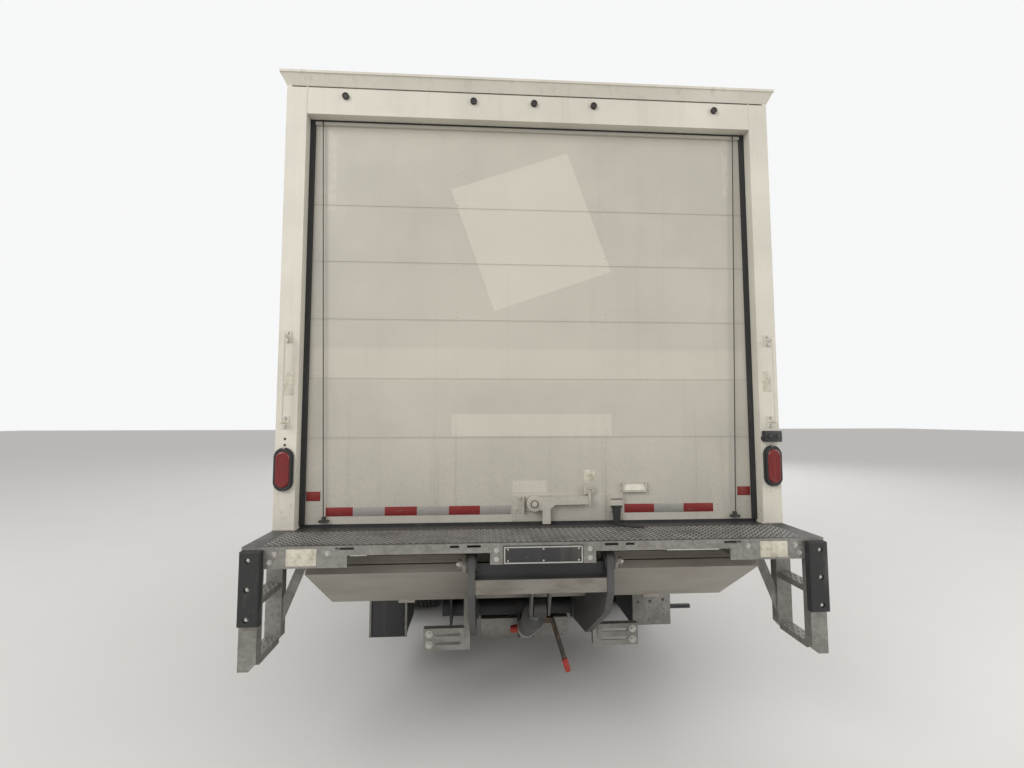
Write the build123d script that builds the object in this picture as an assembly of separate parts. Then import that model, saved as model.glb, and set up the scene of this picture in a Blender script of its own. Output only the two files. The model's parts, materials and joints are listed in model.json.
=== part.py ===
from build123d import *
import math
import os

# Box truck: low cab-over chassis, dry van body with a roll-up rear door, side step ladders
# and a tuck-under tail lift. Millimetres. +Y is forward, +X is the truck's right, Z = 0 is the
# ground, and the origin is under the middle of the whole length.

# Overall layout along Y
RUBBER_THICK = 30           # dock bumpers behind the deck
DECK_DEPTH = 278            # rear deck behind the body posts
BODY_LENGTH = 4880          # van body, post face to front wall
CAB_GAP = 100               # between van body and cab
CAB_LENGTH = 1790           # cab back to cab nose
BUMPER_REACH = 60           # front bumper ahead of the cab nose
FRONT_OVERHANG = 1105       # bumper face to front axle
WHEELBASE = 3810

# Heights
DECK_Z = 1060               # load floor above the ground
RAIL_TOP = 858
RAIL_DEPTH = 200
CAB_FLOOR_Z = 900
CAB_SKIRT_Z = 640
CAB_ROOF_Z = 2215

# Van body
BODY_HALF = 1219
WALL_THICK = 38
FRONT_WALL_THICK = 45
FRONT_CORNER = 110          # radius of the van's front corners
ROOF_THICK = 26
ROOF_CROWN = 22
SKIN_DROP = 100             # side skin below the load floor
FLOOR_START = 95            # floor boards begin this far ahead of the post face
BOARD_THICK = 28
SILL_DEPTH = 76
SILL_WIDTH = 60
SILL_PITCH = 406
POST_WIDTH = 97
POST_DEPTH = 120
FRAME_TOP = 2153            # rear frame above the load floor
HEADER_BOTTOM = 2010
CAP_HEIGHT = 62
CAP_FLARE = 26
DOOR_INSET = 60
DOOR_THICK = 25
DOOR_GAP = 4
DOOR_TOP_LAP = 30
PANEL_JOINTS = (420, 707, 1000, 1288, 1574)
JOINT_GAP = 3
SEAL_WIDTH = 25
SEAL_THICK = 11
SEAL_DROP = 13
DOOR_HINGE_X = 372          # inner columns of door hinges
DOOR_HINGE_IN = 58          # outer columns in from the door's edge
DOOR_HINGE_SIZE = (64, 80)

# Rear deck, steps and lamps
TREAD_THICK = 6
BEAM_DEPTH = 88
BEAM_THICK = 8
NOTCH_IN = 222
NOTCH_OUT = 803
NOTCH_TOP = 40
GUSSET_THICK = 10
GUSSET_END = 28             # gussets in from the beam's end, out from a notch and in from it
GUSSET_OUT = 37
GUSSET_IN = 42
STEP_WIDTH = 71
STEP_DROP = 484
STEP_POST = 45
STEP_TREAD = 25
BRACE_FOOT = (-292, -405)   # ladder brace's ends on the front post
BRACE_REACH = 127           # how far the brace reaches in from the ladder
BRACE_WIDTH = 44
RUBBER_REACH = 86           # dock bumper's inner edge in from the body's side
RUBBER_WIDTH = 82
RUBBER_TOP = 12
RUBBER_DROP = 302
RUBBER_BOLT_DROPS = (44, 158, 273)
BEAM_SLOTS = ((260, 318), (350, 387), (776, 850))
BEAM_SLOT_DROPS = (-18, -8)
TAIL_LAMP_IN = 44           # lamp's middle in from the body's side
TAIL_LAMP_Z = 280
TAIL_LAMP_SIZE = (88, 200)
TAIL_LENS_SIZE = (64, 166)
MARKER_PITCH = 305
MARKER_IN = 284
MARKER_Z = 2103
MARKER_RADIUS = 15
HANDLE_IN = 44
HANDLE_LOW = 472
HANDLE_HIGH = 927
HANDLE_ROD = 7
HANDLE_REACH = 48
CABLE_IN_LOW = 117          # door cable in from the post, at its foot and its head
CABLE_IN_HIGH = 65
CABLE_RADIUS = 2.5

# Chassis
RAIL_HALF = 425.5           # rail web's outer face
RAIL_FLANGE = 65
RAIL_WALL = 7
BOLT_COLUMNS = 2            # open hole pattern in the right rail's web
BOLT_ROWS = 2
BOLT_SPACING_Y = 120
BOLT_SPACING_Z = 80
BOLT_RADIUS = 6.5
RAIL_REAR = 420             # rail ends ahead of the post face, clear of the stowed lift
RAIL_FRONT = 250            # rail ends behind the bumper face
CROSS_WIDTH = 60
CROSS_DEPTH = 130
CROSS_SHARES = (0.02, 0.25, 0.42, 0.62, 0.71, 0.985)  # crossmembers, as shares of the rails' length

# Wheels
TYRE_RADIUS = 405
TYRE_HALF = 113
BEAD_RADIUS = 252
RIM_HALF = 86
FRONT_TRACK_HALF = 850
KINGPIN_X = 760
KINGPIN_RADIUS = 16
KINGPIN_HALF = 95
AXLE_EYE_RADIUS = 42
AXLE_EYE_HALF = 55
AXLE_TUBE = 62
SPRING_WIDTH = 70
DUAL_MID = 825
DUAL_SPACING = 265
SPIN_CLEAR = 0.05
FRONT_SPINDLE = 32
REAR_SPINDLE = 45
HUB_RADIUS = 85
FRONT_DISH = 60
REAR_DISH = 110
HAND_HOLES = 5
HAND_HOLE_AT = 178
HAND_HOLE_RADIUS = 24
BOWL_RADIUS = 172
BOWL_HALF = 95

# Tail lift, measured from the post face (forward) and the load floor (down)
LIFT_PIVOT = (620, -600)
LIFT_HINGE = (-172, -112)
LIFT_TUBE = 45
LIFT_ARM_X = 300
LIFT_ARM_THICK = 30
LIFT_BOSS = 66
PACK_REAR = (-95, -170)
PACK_FRONT = (270, -423)
PACK_SIDE_GAP = 185
PACK_TAPER = 16
STRIP_COUNT = 4             # hinge strips between two leaves
STRIP_IN = 194
STRIP_HALF = 70
LEAF_THICK = 36
LEAF_PITCH = 42
LEAF_COUNT = 2
LEAF_INSET = 14
CROSS_TUBE = (-212, -232)
CROSS_TUBE_SIZE = (76, 60)
CRADLE_FOOT = (205, -648)
CRADLE_HEIGHT = 106
CRADLE_DEPTH = 34
CRADLE_WALL = 6
CRADLE_SPAN = (341, 549)
CRADLE_SLOT = (362, 490)
CRADLE_LEVELS = (-614, -572)
BOX_LENGTH = 350
BOX_TOP = -320
BATTERY_BOX = (705, 912, -771)
POWER_BOX = (658, 901, -742)
POWER_BAR = (1028, -645)
CYLINDER_BASE = (590, -720)
CYLINDER_EYE = (-120, -330)
BARREL_RADIUS = 52
BARREL_BORE = 44
BARREL_START = 72
BARREL_END = 520
ROD_RADIUS = 25
PISTON_AT = 400
PISTON_LENGTH = 50
EYE_RADIUS = 38
EYE_HALF = 28
EYE_CLEAR = 11
CYLINDER_PIN = 14
CLEVIS_THICK = 10
CLEVIS_GAP = 6

# Cab
CAB_HALF = 997
CAB_WALL = 45
CAB_BELT = 1350
CAB_TAPER = 62              # cab's side drawn in at the roof
CAB_SHOULDER = 95
CAB_NOSE_Z = 1180
SCREEN_FOOT = (30, 1385)    # behind the nose and above the ground
SCREEN_HEAD = (410, 2120)
BROW = (560, 12)            # behind the nose and below the roof
BACK_CORNER = 60
DOOR_FRONT = 330            # cab door's edges behind the nose
DOOR_BACK = 1290
DOOR_LEVELS = (930, 1840, 2085)
DOOR_SLANT = 125
WINDOW_FRONT = 70           # window's edges in from the door's
WINDOW_BACK = 75
WINDOW_LEVELS = (1405, 1815, 2015)
WINDOW_SLANT = 100
SCREEN_LEVELS = (1430, 2075)
SCREEN_IN = (127, 182)      # windscreen in from the cab's side, at its foot and its head
REAR_WINDOW_HALF = 480
REAR_WINDOW_LEVELS = (1480, 1950)
LAMP_IN = 97                # headlamp in from the cab's side
LAMP_WIDTH = 255
LAMP_LEVELS = (800, 1000, 820, 980)
GRILLE_LEVELS = (800, 1080)
GRILLE_GAP = (75, 45)       # between grille and headlamp, at its foot and its head
GRILLE_EDGE = 15
GRILLE_POST = 16
SLOT_START = 22
SLOT_HEIGHT = 32
SLOT_PITCH = 48
SKIRT_IN = 152
SKIRT_BACK = 260
TUNNEL_HALF = 330           # raised floor over the engine
TUNNEL_TOP = 1090
TUNNEL_WALL = 20
TUNNEL_END = 470
CAB_FLOOR_THICK = 25
SEAT_BEHIND = 900           # seats behind the cab nose
SEAT_TUNNEL_GAP = 40
SEAT_SIDE_GAP = 117
SEAT_BOX = (40, -420, 20)
SEAT_CUSHION = (-430, 70, 1130, 1260)
SEAT_BACK = ((-400, 1240), (-290, 1240), (-370, 1880), (-450, 1880))
MIDDLE_SEAT = (-1320, -840, 1200)
MIDDLE_SEAT_IN = 30
DASH = ((95, 1150), (95, 1340), (330, 1350), (420, 1290), (400, 1180), (330, 1130))
DASH_SIDE_GAP = 70
WHEEL_BEHIND = 520          # steering wheel behind the cab nose
WHEEL_Z = 1330
WHEEL_RADIUS = 205
WHEEL_TUBE = 14
COLUMN_FOOT = (300, 1100)
COLUMN_HEAD = (510, 1320)
PEDAL_BACK = 190
MIRROR_BEHIND = 230
MIRROR_OUT = (93, 273)      # mirror head beyond the cab's side
MIRROR_LEVELS = (1500, 1900)
MIRROR_ARM = (-57, 123)
PIVOT_BACK = 180            # tilt pivot behind the cab nose
PIVOT_Z = 665
PIVOT_PIN = 16
REST_GAP = 0.3
ARCH_RADIUS = 500
DOOR_CUT_GAP = 6
GLASS_DEPTH = 12
GLASS_THICK = 6
GLASS_FIT = 0.3
NOSE_BOW = 45
CORNER_DEEP = 150
CORNER_WIDE = 160
GRILLE_SLOTS = 5
HINGE_OUT = 14
HINGE_RADIUS = 11
HINGE_PIN = 6
HINGE_LEVELS = (1060, 1300, 1740)

# Engine and gearbox
ENGINE_BEHIND = 620         # engine's front behind the bumper face
ENGINE_HALF = 260
ENGINE_LEVELS = (500, 1020)
ENGINE_GAP = 170            # between the engine and the cab's rest arch
ENGINE_ARM_IN = (160, 60)   # engine arms in from its two ends
GEARBOX_HALF = 140
GEARBOX_LEVELS = (480, 760)
GEARBOX_REACH = 840         # gearbox's rear end behind the front axle
REST_AHEAD = 130            # rest arch ahead of the cab's back
REST_HALF = 30

# Placing worked out from the sizes above
OVERALL = RUBBER_THICK + DECK_DEPTH + BODY_LENGTH + CAB_GAP + CAB_LENGTH + BUMPER_REACH
REAR_END = -OVERALL / 2
DECK_REAR = REAR_END + RUBBER_THICK
BODY_REAR = DECK_REAR + DECK_DEPTH
BODY_FRONT = BODY_REAR + BODY_LENGTH
CAB_BACK = BODY_FRONT + CAB_GAP
CAB_NOSE = CAB_BACK + CAB_LENGTH
NOSE = CAB_NOSE + BUMPER_REACH
FRONT_AXLE_Y = NOSE - FRONT_OVERHANG
REAR_AXLE_Y = FRONT_AXLE_Y - WHEELBASE
GEARBOX_BACK = FRONT_AXLE_Y - GEARBOX_REACH
REST_Y = CAB_BACK + REST_AHEAD
ENGINE_BACK = REST_Y + REST_HALF + ENGINE_GAP
RAIL_Y0 = BODY_REAR + RAIL_REAR
RAIL_Y1 = NOSE - RAIL_FRONT
RAIL_LOW = RAIL_TOP - RAIL_DEPTH
BOLT_Y = RAIL_Y0 + 0.5 * (RAIL_Y1 - RAIL_Y0)
SILL_TOP = DECK_Z - BOARD_THICK
SILL_LOW = SILL_TOP - SILL_DEPTH
INNER_HALF = BODY_HALF - WALL_THICK
POST_INNER = BODY_HALF - POST_WIDTH
EAVES_Z = DECK_Z + FRAME_TOP
AXLE_Z = TYRE_RADIUS
FLAP_Y = REAR_AXLE_Y - TYRE_RADIUS - 130
TAIL_LAMP_X = BODY_HALF - TAIL_LAMP_IN
HANDLE_X = BODY_HALF - HANDLE_IN
MARKER_END = BODY_HALF - MARKER_IN
MARKER_XS = (-MARKER_END, -MARKER_PITCH, 0, MARKER_PITCH, MARKER_END)
CABLE_X_LOW = POST_INNER - CABLE_IN_LOW
CABLE_X_HIGH = POST_INNER - CABLE_IN_HIGH
RUBBER_INNER = BODY_HALF - RUBBER_REACH
PACK_HALF = BODY_HALF - PACK_SIDE_GAP
BOX_MID = (BODY_REAR + PACK_FRONT[0] + FLAP_Y) / 2
CAB_TOP_HALF = CAB_HALF - CAB_TAPER
SEAT_NEAR = TUNNEL_HALF + SEAT_TUNNEL_GAP
SEAT_FAR = CAB_HALF - SEAT_SIDE_GAP
WHEEL_X = -(SEAT_NEAR + SEAT_FAR) / 2
LAMP_FAR = CAB_HALF - LAMP_IN
LAMP_NEAR = LAMP_FAR - LAMP_WIDTH


def block(x0, x1, y0, y1, z0, z1):
    return Pos((x0 + x1) / 2, (y0 + y1) / 2, (z0 + z1) / 2) * Box(x1 - x0, y1 - y0, z1 - z0)


def side_plate(points, x0, x1, radius=0):
    """Outline in Y and Z, given its thickness along X."""
    face = make_face(Polyline(*points, close=True))
    if radius:
        face = fillet(face.vertices(), radius)
    return extrude(Plane.YZ.offset(x0) * face, amount=x1 - x0)


def back_plate(points, y0, y1, radius=0):
    """Outline in X and Z, given its thickness along Y."""
    face = make_face(Polyline(*points, close=True))
    if radius:
        face = fillet(face.vertices(), radius)
    return extrude(Plane.XZ.offset(-y0) * face, amount=y0 - y1)


def plan_plate(points, z0, z1):
    """Outline in X and Y, given its thickness along Z."""
    face = make_face(Polyline(*points, close=True))
    return extrude(Plane.XY.offset(z0) * face, amount=z1 - z0)


def rod_between(start, end, radius):
    start = Vector(*start)
    end = Vector(*end)
    line = end - start
    return extrude(Plane(start, z_dir=line) * Circle(radius), amount=line.length)


def rod_x(x0, x1, y, z, radius):
    return rod_between((x0, y, z), (x1, y, z), radius)


def sided(side, near, far):
    """Low and high X of a span that lies on one side of the truck."""
    return min(side * near, side * far), max(side * near, side * far)


def around(mid, half):
    return mid - half, mid + half


def both_sides(shape):
    return [shape, mirror(shape, about=Plane.YZ)]


def arched_strip(low, top):
    """Face between two arcs, each given by three points."""
    sides = [Line(low[2], top[2]), Line(top[0], low[0])]
    return make_face(Curve() + [ThreePointArc(*low), sides[0], ThreePointArc(*reversed(top)), sides[1]])


def fuse(shapes):
    whole = shapes[0]
    for shape in shapes[1:]:
        whole = whole + shape
    return whole


def cut(body, tools):
    for tool in tools:
        body = body - tool
    return body


def save(name, shapes):
    """One STEP file holds every separate solid of a node."""
    solids = []
    for shape in shapes:
        solids += list(shape.solids())
    if not solids:
        raise ValueError("nothing to write for " + name)
    whole = solids[0] if len(solids) == 1 else Compound(children=solids)
    export_step(whole, os.path.join("parts", name + ".step"))


# Chassis

def ladder_frame():
    outer = RAIL_HALF
    inner = RAIL_HALF - RAIL_FLANGE
    low = RAIL_LOW
    top = RAIL_TOP
    wall = RAIL_WALL
    section = [(outer, low), (outer, top), (inner, top), (inner, top - wall), (outer - wall, top - wall),
               (outer - wall, low + wall), (inner, low + wall), (inner, low)]
    rails = both_sides(back_plate(section, RAIL_Y0, RAIL_Y1))
    web = RAIL_HALF - RAIL_WALL
    mid = (low + top) / 2
    pieces = list(rails)
    for share in CROSS_SHARES:
        y = RAIL_Y0 + share * (RAIL_Y1 - RAIL_Y0)
        tube = block(-web, web, *around(y, CROSS_WIDTH / 2), *around(mid, CROSS_DEPTH / 2))
        bore = block(-web, web, *around(y + wall, CROSS_WIDTH / 2), *around(mid, CROSS_DEPTH / 2 - wall))
        pieces.append(tube - bore)
    frame = fuse(pieces)
    for column in range(BOLT_COLUMNS):
        for row in range(BOLT_ROWS):
            y = BOLT_Y + (column - (BOLT_COLUMNS - 1) / 2) * BOLT_SPACING_Y
            z = mid + (row - (BOLT_ROWS - 1) / 2) * BOLT_SPACING_Z
            frame = frame - rod_x(RAIL_HALF - 12, RAIL_HALF + 5, y, z, BOLT_RADIUS)
    return [frame]


def cab_mounts():
    """Tilt pivot brackets on the rail ends and the rest arch behind the cab floor."""
    pivot_y = CAB_NOSE - PIVOT_BACK
    pieces = []
    lug = side_plate([(RAIL_Y1, RAIL_LOW), (RAIL_Y1, RAIL_TOP - 20), (pivot_y + 30, PIVOT_Z + 30),
                      (pivot_y + 30, PIVOT_Z - 30), (RAIL_Y1, RAIL_LOW - 40)], RAIL_HALF, RAIL_HALF + 12)
    pin = rod_x(RAIL_HALF, RAIL_HALF + 45, pivot_y, PIVOT_Z, PIVOT_PIN)
    foot = block(RAIL_HALF, RAIL_HALF + 12, RAIL_Y1 - 160, RAIL_Y1, RAIL_LOW - 40, RAIL_TOP - 20)
    pieces += both_sides(lug + pin + foot)
    arch = around(REST_Y, REST_HALF)
    legs = [block(RAIL_HALF, RAIL_HALF + 40, *arch, RAIL_LOW + 20, CAB_FLOOR_Z - 30)]
    legs.append(mirror(legs[0], about=Plane.YZ))
    bar = block(-RAIL_HALF - 40, RAIL_HALF + 40, *arch, RAIL_TOP, CAB_FLOOR_Z - REST_GAP)
    pieces.append(fuse(legs + [bar]))
    return pieces


def front_axle():
    half = KINGPIN_X
    drop = AXLE_Z - 90
    outline = [(-half + 40, AXLE_Z - 45), (-half + 190, drop - 45), (half - 190, drop - 45),
               (half - 40, AXLE_Z - 45), (half - 40, AXLE_Z + 45), (half - 210, drop + 45),
               (-half + 210, drop + 45), (-half + 40, AXLE_Z + 45)]
    beam = back_plate(outline, FRONT_AXLE_Y - 42, FRONT_AXLE_Y + 42)
    groove_half = half - 230
    for front in (-1, 1):
        y0, y1 = sided(front, 28, 48)
        groove = block(-groove_half, groove_half, FRONT_AXLE_Y + y0, FRONT_AXLE_Y + y1, drop - 28, drop + 28)
        beam = beam - groove
    ends = []
    for side in (-1, 1):
        for reach, radius in ((AXLE_EYE_HALF, AXLE_EYE_RADIUS), (KINGPIN_HALF, KINGPIN_RADIUS)):
            low = (side * half, FRONT_AXLE_Y, AXLE_Z - reach)
            high = (side * half, FRONT_AXLE_Y, AXLE_Z + reach)
            ends.append(rod_between(low, high, radius))
    return [fuse([beam] + ends)]


def spring_pack(y_mid, x_mid, span, camber, seat_z, hanger_z):
    """Leaf spring pack with its two hangers."""
    half_width = SPRING_WIDTH / 2
    leaves = []
    for number in range(3):
        reach = span / 2 * (1 - 0.22 * number)
        drop = seat_z - number * 15
        rise = camber * (reach / (span / 2)) ** 2
        low = [(y_mid - reach, drop + rise), (y_mid, drop), (y_mid + reach, drop + rise)]
        top = [(y, z + 15) for y, z in low]
        face = arched_strip(low, top)
        leaves.append(extrude(Plane.YZ.offset(x_mid - half_width) * face, amount=2 * half_width))
    for end in (-1, 1):
        y = y_mid + end * span / 2
        eye_z = seat_z + camber + 8
        leaves.append(rod_x(x_mid - half_width, x_mid + half_width, y, eye_z, 24))
        leaves.append(block(x_mid - half_width, x_mid + half_width, y - 30, y + 30, eye_z, hanger_z))
    return [fuse(leaves)]


def leaf_springs():
    shapes = []
    for side in (-1, 1):
        x = side * (RAIL_HALF - RAIL_FLANGE / 2)
        shapes += spring_pack(FRONT_AXLE_Y, x, 1150, 120, AXLE_Z - 90 + 45 + 30, RAIL_LOW)
        shapes += spring_pack(REAR_AXLE_Y, x, 1250, 110, AXLE_Z + 62 + 30, RAIL_LOW)
    return shapes


def pinion_nose():
    return rod_between((0, REAR_AXLE_Y, AXLE_Z + 20), (0, REAR_AXLE_Y + 300, AXLE_Z + 40), AXLE_TUBE)


def rear_axle():
    reach = DUAL_MID - DUAL_SPACING / 2 - TYRE_HALF - 10
    tube = rod_x(-reach, reach, REAR_AXLE_Y, AXLE_Z, AXLE_TUBE)
    bowl_y0, bowl_y1 = around(REAR_AXLE_Y, BOWL_HALF)
    bowl = rod_between((0, bowl_y0, AXLE_Z), (0, bowl_y1, AXLE_Z), BOWL_RADIUS)
    bowl = fillet(bowl.edges(), BOWL_HALF * 0.6)
    spindle_end = DUAL_MID + DUAL_SPACING / 2 + 60
    spindle = rod_x(-spindle_end, spindle_end, REAR_AXLE_Y, AXLE_Z, REAR_SPINDLE)
    return [fuse([tube, bowl, pinion_nose(), spindle])]


def drive_shaft():
    start = (0, REAR_AXLE_Y + 300, AXLE_Z + 40)
    end = (0, GEARBOX_BACK - 58, AXLE_Z + 190)
    shaft = rod_between(start, end, 45)
    joints = [Pos(*start) * Sphere(58), Pos(*end) * Sphere(58)]
    return [fuse([shaft] + joints) - pinion_nose()]


def engine_block():
    """The engine and gearbox stand as one plain mass at their real place."""
    front = NOSE - ENGINE_BEHIND
    whole = block(-ENGINE_HALF, ENGINE_HALF, ENGINE_BACK, front, *ENGINE_LEVELS)
    whole = whole + block(-GEARBOX_HALF, GEARBOX_HALF, GEARBOX_BACK, ENGINE_BACK, *GEARBOX_LEVELS)
    seat = RAIL_LOW + RAIL_WALL
    for y in (front - ENGINE_ARM_IN[0], ENGINE_BACK + ENGINE_ARM_IN[1]):
        arm = block(-RAIL_HALF + RAIL_WALL, RAIL_HALF - RAIL_WALL, y - 35, y + 35, seat, seat + 40)
        whole = whole + arm
    return [whole]


def fuel_tank():
    y0 = FRONT_AXLE_Y - 2000
    tank = plan_plate([(0, 0), (360, 0), (360, 900), (0, 900)], 0, 380)
    tank = fillet(tank.edges().filter_by(Axis.Y), 70)
    tank = Pos(RAIL_HALF + 40, y0, 400) * tank
    straps = []
    for y in (y0 + 180, y0 + 700):
        straps.append(block(RAIL_HALF, RAIL_HALF + 40, y - 30, y + 30, 440, 840))
    return [fuse([tank] + straps)]


def battery_box():
    y0 = FRONT_AXLE_Y - 1500
    box = block(-RAIL_HALF - 400, -RAIL_HALF - 25, y0 - 480, y0, 430, 740)
    box = fillet(box.edges(), 14)
    foot = block(-RAIL_HALF - 60, -RAIL_HALF, y0 - 440, y0 - 40, 560, 700)
    return [box + foot]


def exhaust():
    """Silencer between the rails with its pipes, hung from the left rail's lower flange."""
    x = -240
    z = 535
    y0 = REAR_AXLE_Y + 700
    y1 = y0 + 700
    pieces = [fillet(rod_between((x, y0, z), (x, y1, z), 105).edges(), 20)]
    pieces.append(rod_between((x, y1 - 5, z), (x, ENGINE_BACK, z), 38))
    pieces.append(rod_between((x, y0 + 5, z), (x, y0 - 60, z), 34))
    pieces.append(Pos(x, y0 - 60, z) * Sphere(34))
    pieces.append(rod_between((x, y0 - 60, z), (x - 420, y0 - 110, z - 40), 34))
    seat = RAIL_LOW + RAIL_WALL
    for y in (y0 + 80, y1 - 110):
        hanger_x = x - 60
        pieces.append(block(hanger_x - 12, hanger_x + 12, y, y + 30, z, seat + 10))
        pieces.append(block(-RAIL_HALF + RAIL_WALL + 10, hanger_x + 12, y, y + 30, seat, seat + 10))
    return [fuse(pieces)]


def mudflaps():
    """Flaps behind the rear wheels, hung from the cross sills."""
    y = FLAP_Y
    inner = DUAL_MID - DUAL_SPACING / 2 - TYRE_HALF - 10
    outer = DUAL_MID + DUAL_SPACING / 2 + TYRE_HALF + 40
    flap = block(inner, outer, y - 5, y + 5, 250, 830)
    rail = block(inner, outer, y - 18, y + 5, 830, 862)
    legs = [block(x - 14, x + 14, y - 18, y + 5, 862, SILL_LOW) for x in (inner + 60, outer - 60)]
    return both_sides(fuse([flap, rail] + legs))


# Van body

def around_posts(pieces):
    post_y1 = BODY_REAR + POST_DEPTH
    posts = both_sides(block(POST_INNER - 2, BODY_HALF, BODY_REAR, post_y1, SILL_LOW - 1, DECK_Z + 1))
    return [cut(fuse(pieces), posts)]


def van_floor():
    y1 = BODY_FRONT - FRONT_WALL_THICK
    return around_posts([block(-INNER_HALF, INNER_HALF, BODY_REAR + FLOOR_START, y1, SILL_TOP, DECK_Z)])


def floor_sills():
    """Cross sills under the boards on two long sills that lie on the rails."""
    y0 = BODY_REAR + FLOOR_START
    y1 = BODY_FRONT - FRONT_WALL_THICK
    pieces = []
    count = int((y1 - y0) // SILL_PITCH)
    first = y0 + SILL_WIDTH / 2
    step = (y1 - y0 - SILL_WIDTH) / count
    middles = [first + number * step for number in range(count + 1)]
    for mid in middles + [FLAP_Y - 6]:
        pieces.append(block(-INNER_HALF, INNER_HALF, *around(mid, SILL_WIDTH / 2), SILL_LOW, SILL_TOP))
    long_y0 = BODY_REAR + 150
    for side in (-1, 1):
        long_x = sided(side, RAIL_HALF - RAIL_FLANGE, RAIL_HALF)
        pieces.append(block(*long_x, long_y0, y1, RAIL_TOP, SILL_LOW))
    return around_posts(pieces)


def van_wall():
    """Right side wall: skin with its top and bottom rails and inner posts."""
    y0 = BODY_REAR + POST_DEPTH
    y1 = BODY_FRONT - FRONT_CORNER
    z0 = DECK_Z - SKIN_DROP
    z1 = EAVES_Z
    wall = block(BODY_HALF - WALL_THICK, BODY_HALF - 3, y0, y1, z0, z1)
    low_rail = block(BODY_HALF - 3, BODY_HALF, y0, y1, z0, DECK_Z + 60)
    top_rail = block(BODY_HALF - 3, BODY_HALF, y0, y1, z1 - 110, z1)
    return fuse([wall, low_rail, top_rail])


def front_wall():
    r = FRONT_CORNER
    y = BODY_FRONT
    h = BODY_HALF
    t = FRONT_WALL_THICK
    outline = [(-h, y - r), (h, y - r), (h, y), (-h, y)]
    face = make_face(Polyline(*outline, close=True))
    front = face.vertices().group_by(Axis.Y)[-1]
    face = fillet(front, r - 1)
    whole = extrude(Plane.XY.offset(DECK_Z - SKIN_DROP) * face, amount=FRAME_TOP + SKIN_DROP)
    inner = block(-h + WALL_THICK, h - WALL_THICK, y - r - 1, y - t, DECK_Z - SKIN_DROP, EAVES_Z)
    return [whole - inner]


def roof():
    """Crowned roof sheet, cut to the body's plan with its rounded front corners."""
    y0 = BODY_REAR + POST_DEPTH
    y1 = BODY_FRONT
    h = BODY_HALF
    wide = h + 20
    fall = ROOF_CROWN * ((wide / h) ** 2 - 1)
    low = [(-wide, EAVES_Z - fall), (0, EAVES_Z + ROOF_CROWN), (wide, EAVES_Z - fall)]
    top = [(x, z + ROOF_THICK) for x, z in low]
    sheet = extrude(Plane.XZ.offset(-y0) * arched_strip(low, top), amount=y0 - y1)
    plan = make_face(Polyline((-h, y0), (h, y0), (h, y1), (-h, y1), close=True))
    plan = fillet(plan.vertices().group_by(Axis.Y)[-1], FRONT_CORNER - 1)
    return [sheet & extrude(Plane.XY.offset(EAVES_Z - 20) * plan, amount=120)]


def rear_frame():
    y0 = BODY_REAR
    y1 = BODY_REAR + POST_DEPTH
    z0 = DECK_Z - BEAM_DEPTH
    z1 = EAVES_Z
    post = plan_plate([(BODY_HALF, y0), (POST_INNER, y0), (POST_INNER - 2, y0 + DOOR_INSET - SEAL_THICK),
                       (POST_INNER - 2, y0 + DOOR_INSET - 1), (POST_INNER, y1), (BODY_HALF, y1)], z0, z1)
    header = block(-POST_INNER, POST_INNER, y0, y0 + DOOR_INSET - DOOR_GAP, DECK_Z + HEADER_BOTTOM, z1)
    sill = block(-POST_INNER, POST_INNER, y0, y0 + FLOOR_START, z0, DECK_Z)
    top_beam = block(-POST_INNER, POST_INNER, y1 - 30, y1, z1 - 60, z1)
    low = Plane.XY.offset(z1) * Pos(0, (y0 + y1) / 2) * Rectangle(2 * BODY_HALF + 6, POST_DEPTH)
    flare_y0 = y0 - 24
    high = Plane.XY.offset(z1 + CAP_HEIGHT - 12) * Pos(0, (flare_y0 + y1) / 2) * Rectangle(
        2 * (BODY_HALF + CAP_FLARE), y1 - flare_y0)
    cap = loft([low.faces()[0], high.faces()[0]])
    lid_half = BODY_HALF + CAP_FLARE + 3
    lid = block(-lid_half, lid_half, flare_y0 - 4, y1, z1 + CAP_HEIGHT - 12, z1 + CAP_HEIGHT)
    return [fuse(both_sides(post) + [header, sill, top_beam, cap, lid])]


def roll_up_door():
    """Horizontal panels, each a separate board, closed behind the frame."""
    half = POST_INNER - DOOR_GAP
    y0 = BODY_REAR + DOOR_INSET
    levels = (SEAL_DROP,) + PANEL_JOINTS + (HEADER_BOTTOM + DOOR_TOP_LAP,)
    boards = []
    for low, high in zip(levels[:-1], levels[1:]):
        z0 = DECK_Z + low + (JOINT_GAP if low != SEAL_DROP else 0)
        boards.append(block(-half, half, y0, y0 + DOOR_THICK, z0, DECK_Z + high))
    hinges = []
    outer = half - DOOR_HINGE_IN
    wide, high = DOOR_HINGE_SIZE
    for joint in PANEL_JOINTS:
        levels = around(DECK_Z + joint + JOINT_GAP / 2, high / 2)
        for x in (-outer, -DOOR_HINGE_X, DOOR_HINGE_X, outer):
            hinges.append(block(*around(x, wide / 2), y0 + DOOR_THICK, y0 + DOOR_THICK + 5, *levels))
    return [fuse(boards + hinges)]


def door_seals():
    y1 = BODY_REAR + DOOR_INSET
    y0 = y1 - SEAL_THICK
    outer = POST_INNER - 2
    inner = outer - SEAL_WIDTH
    high = DECK_Z + HEADER_BOTTOM
    low_half = POST_INNER - DOOR_GAP
    side = block(inner, outer, y0, y1, DECK_Z + SEAL_DROP, high)
    top = block(-inner, inner, y0, y1, high - SEAL_WIDTH, high)
    low = block(-low_half, low_half, y1 + 2, y1 + DOOR_THICK, DECK_Z, DECK_Z + SEAL_DROP)
    return both_sides(side) + [top, low]


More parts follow.
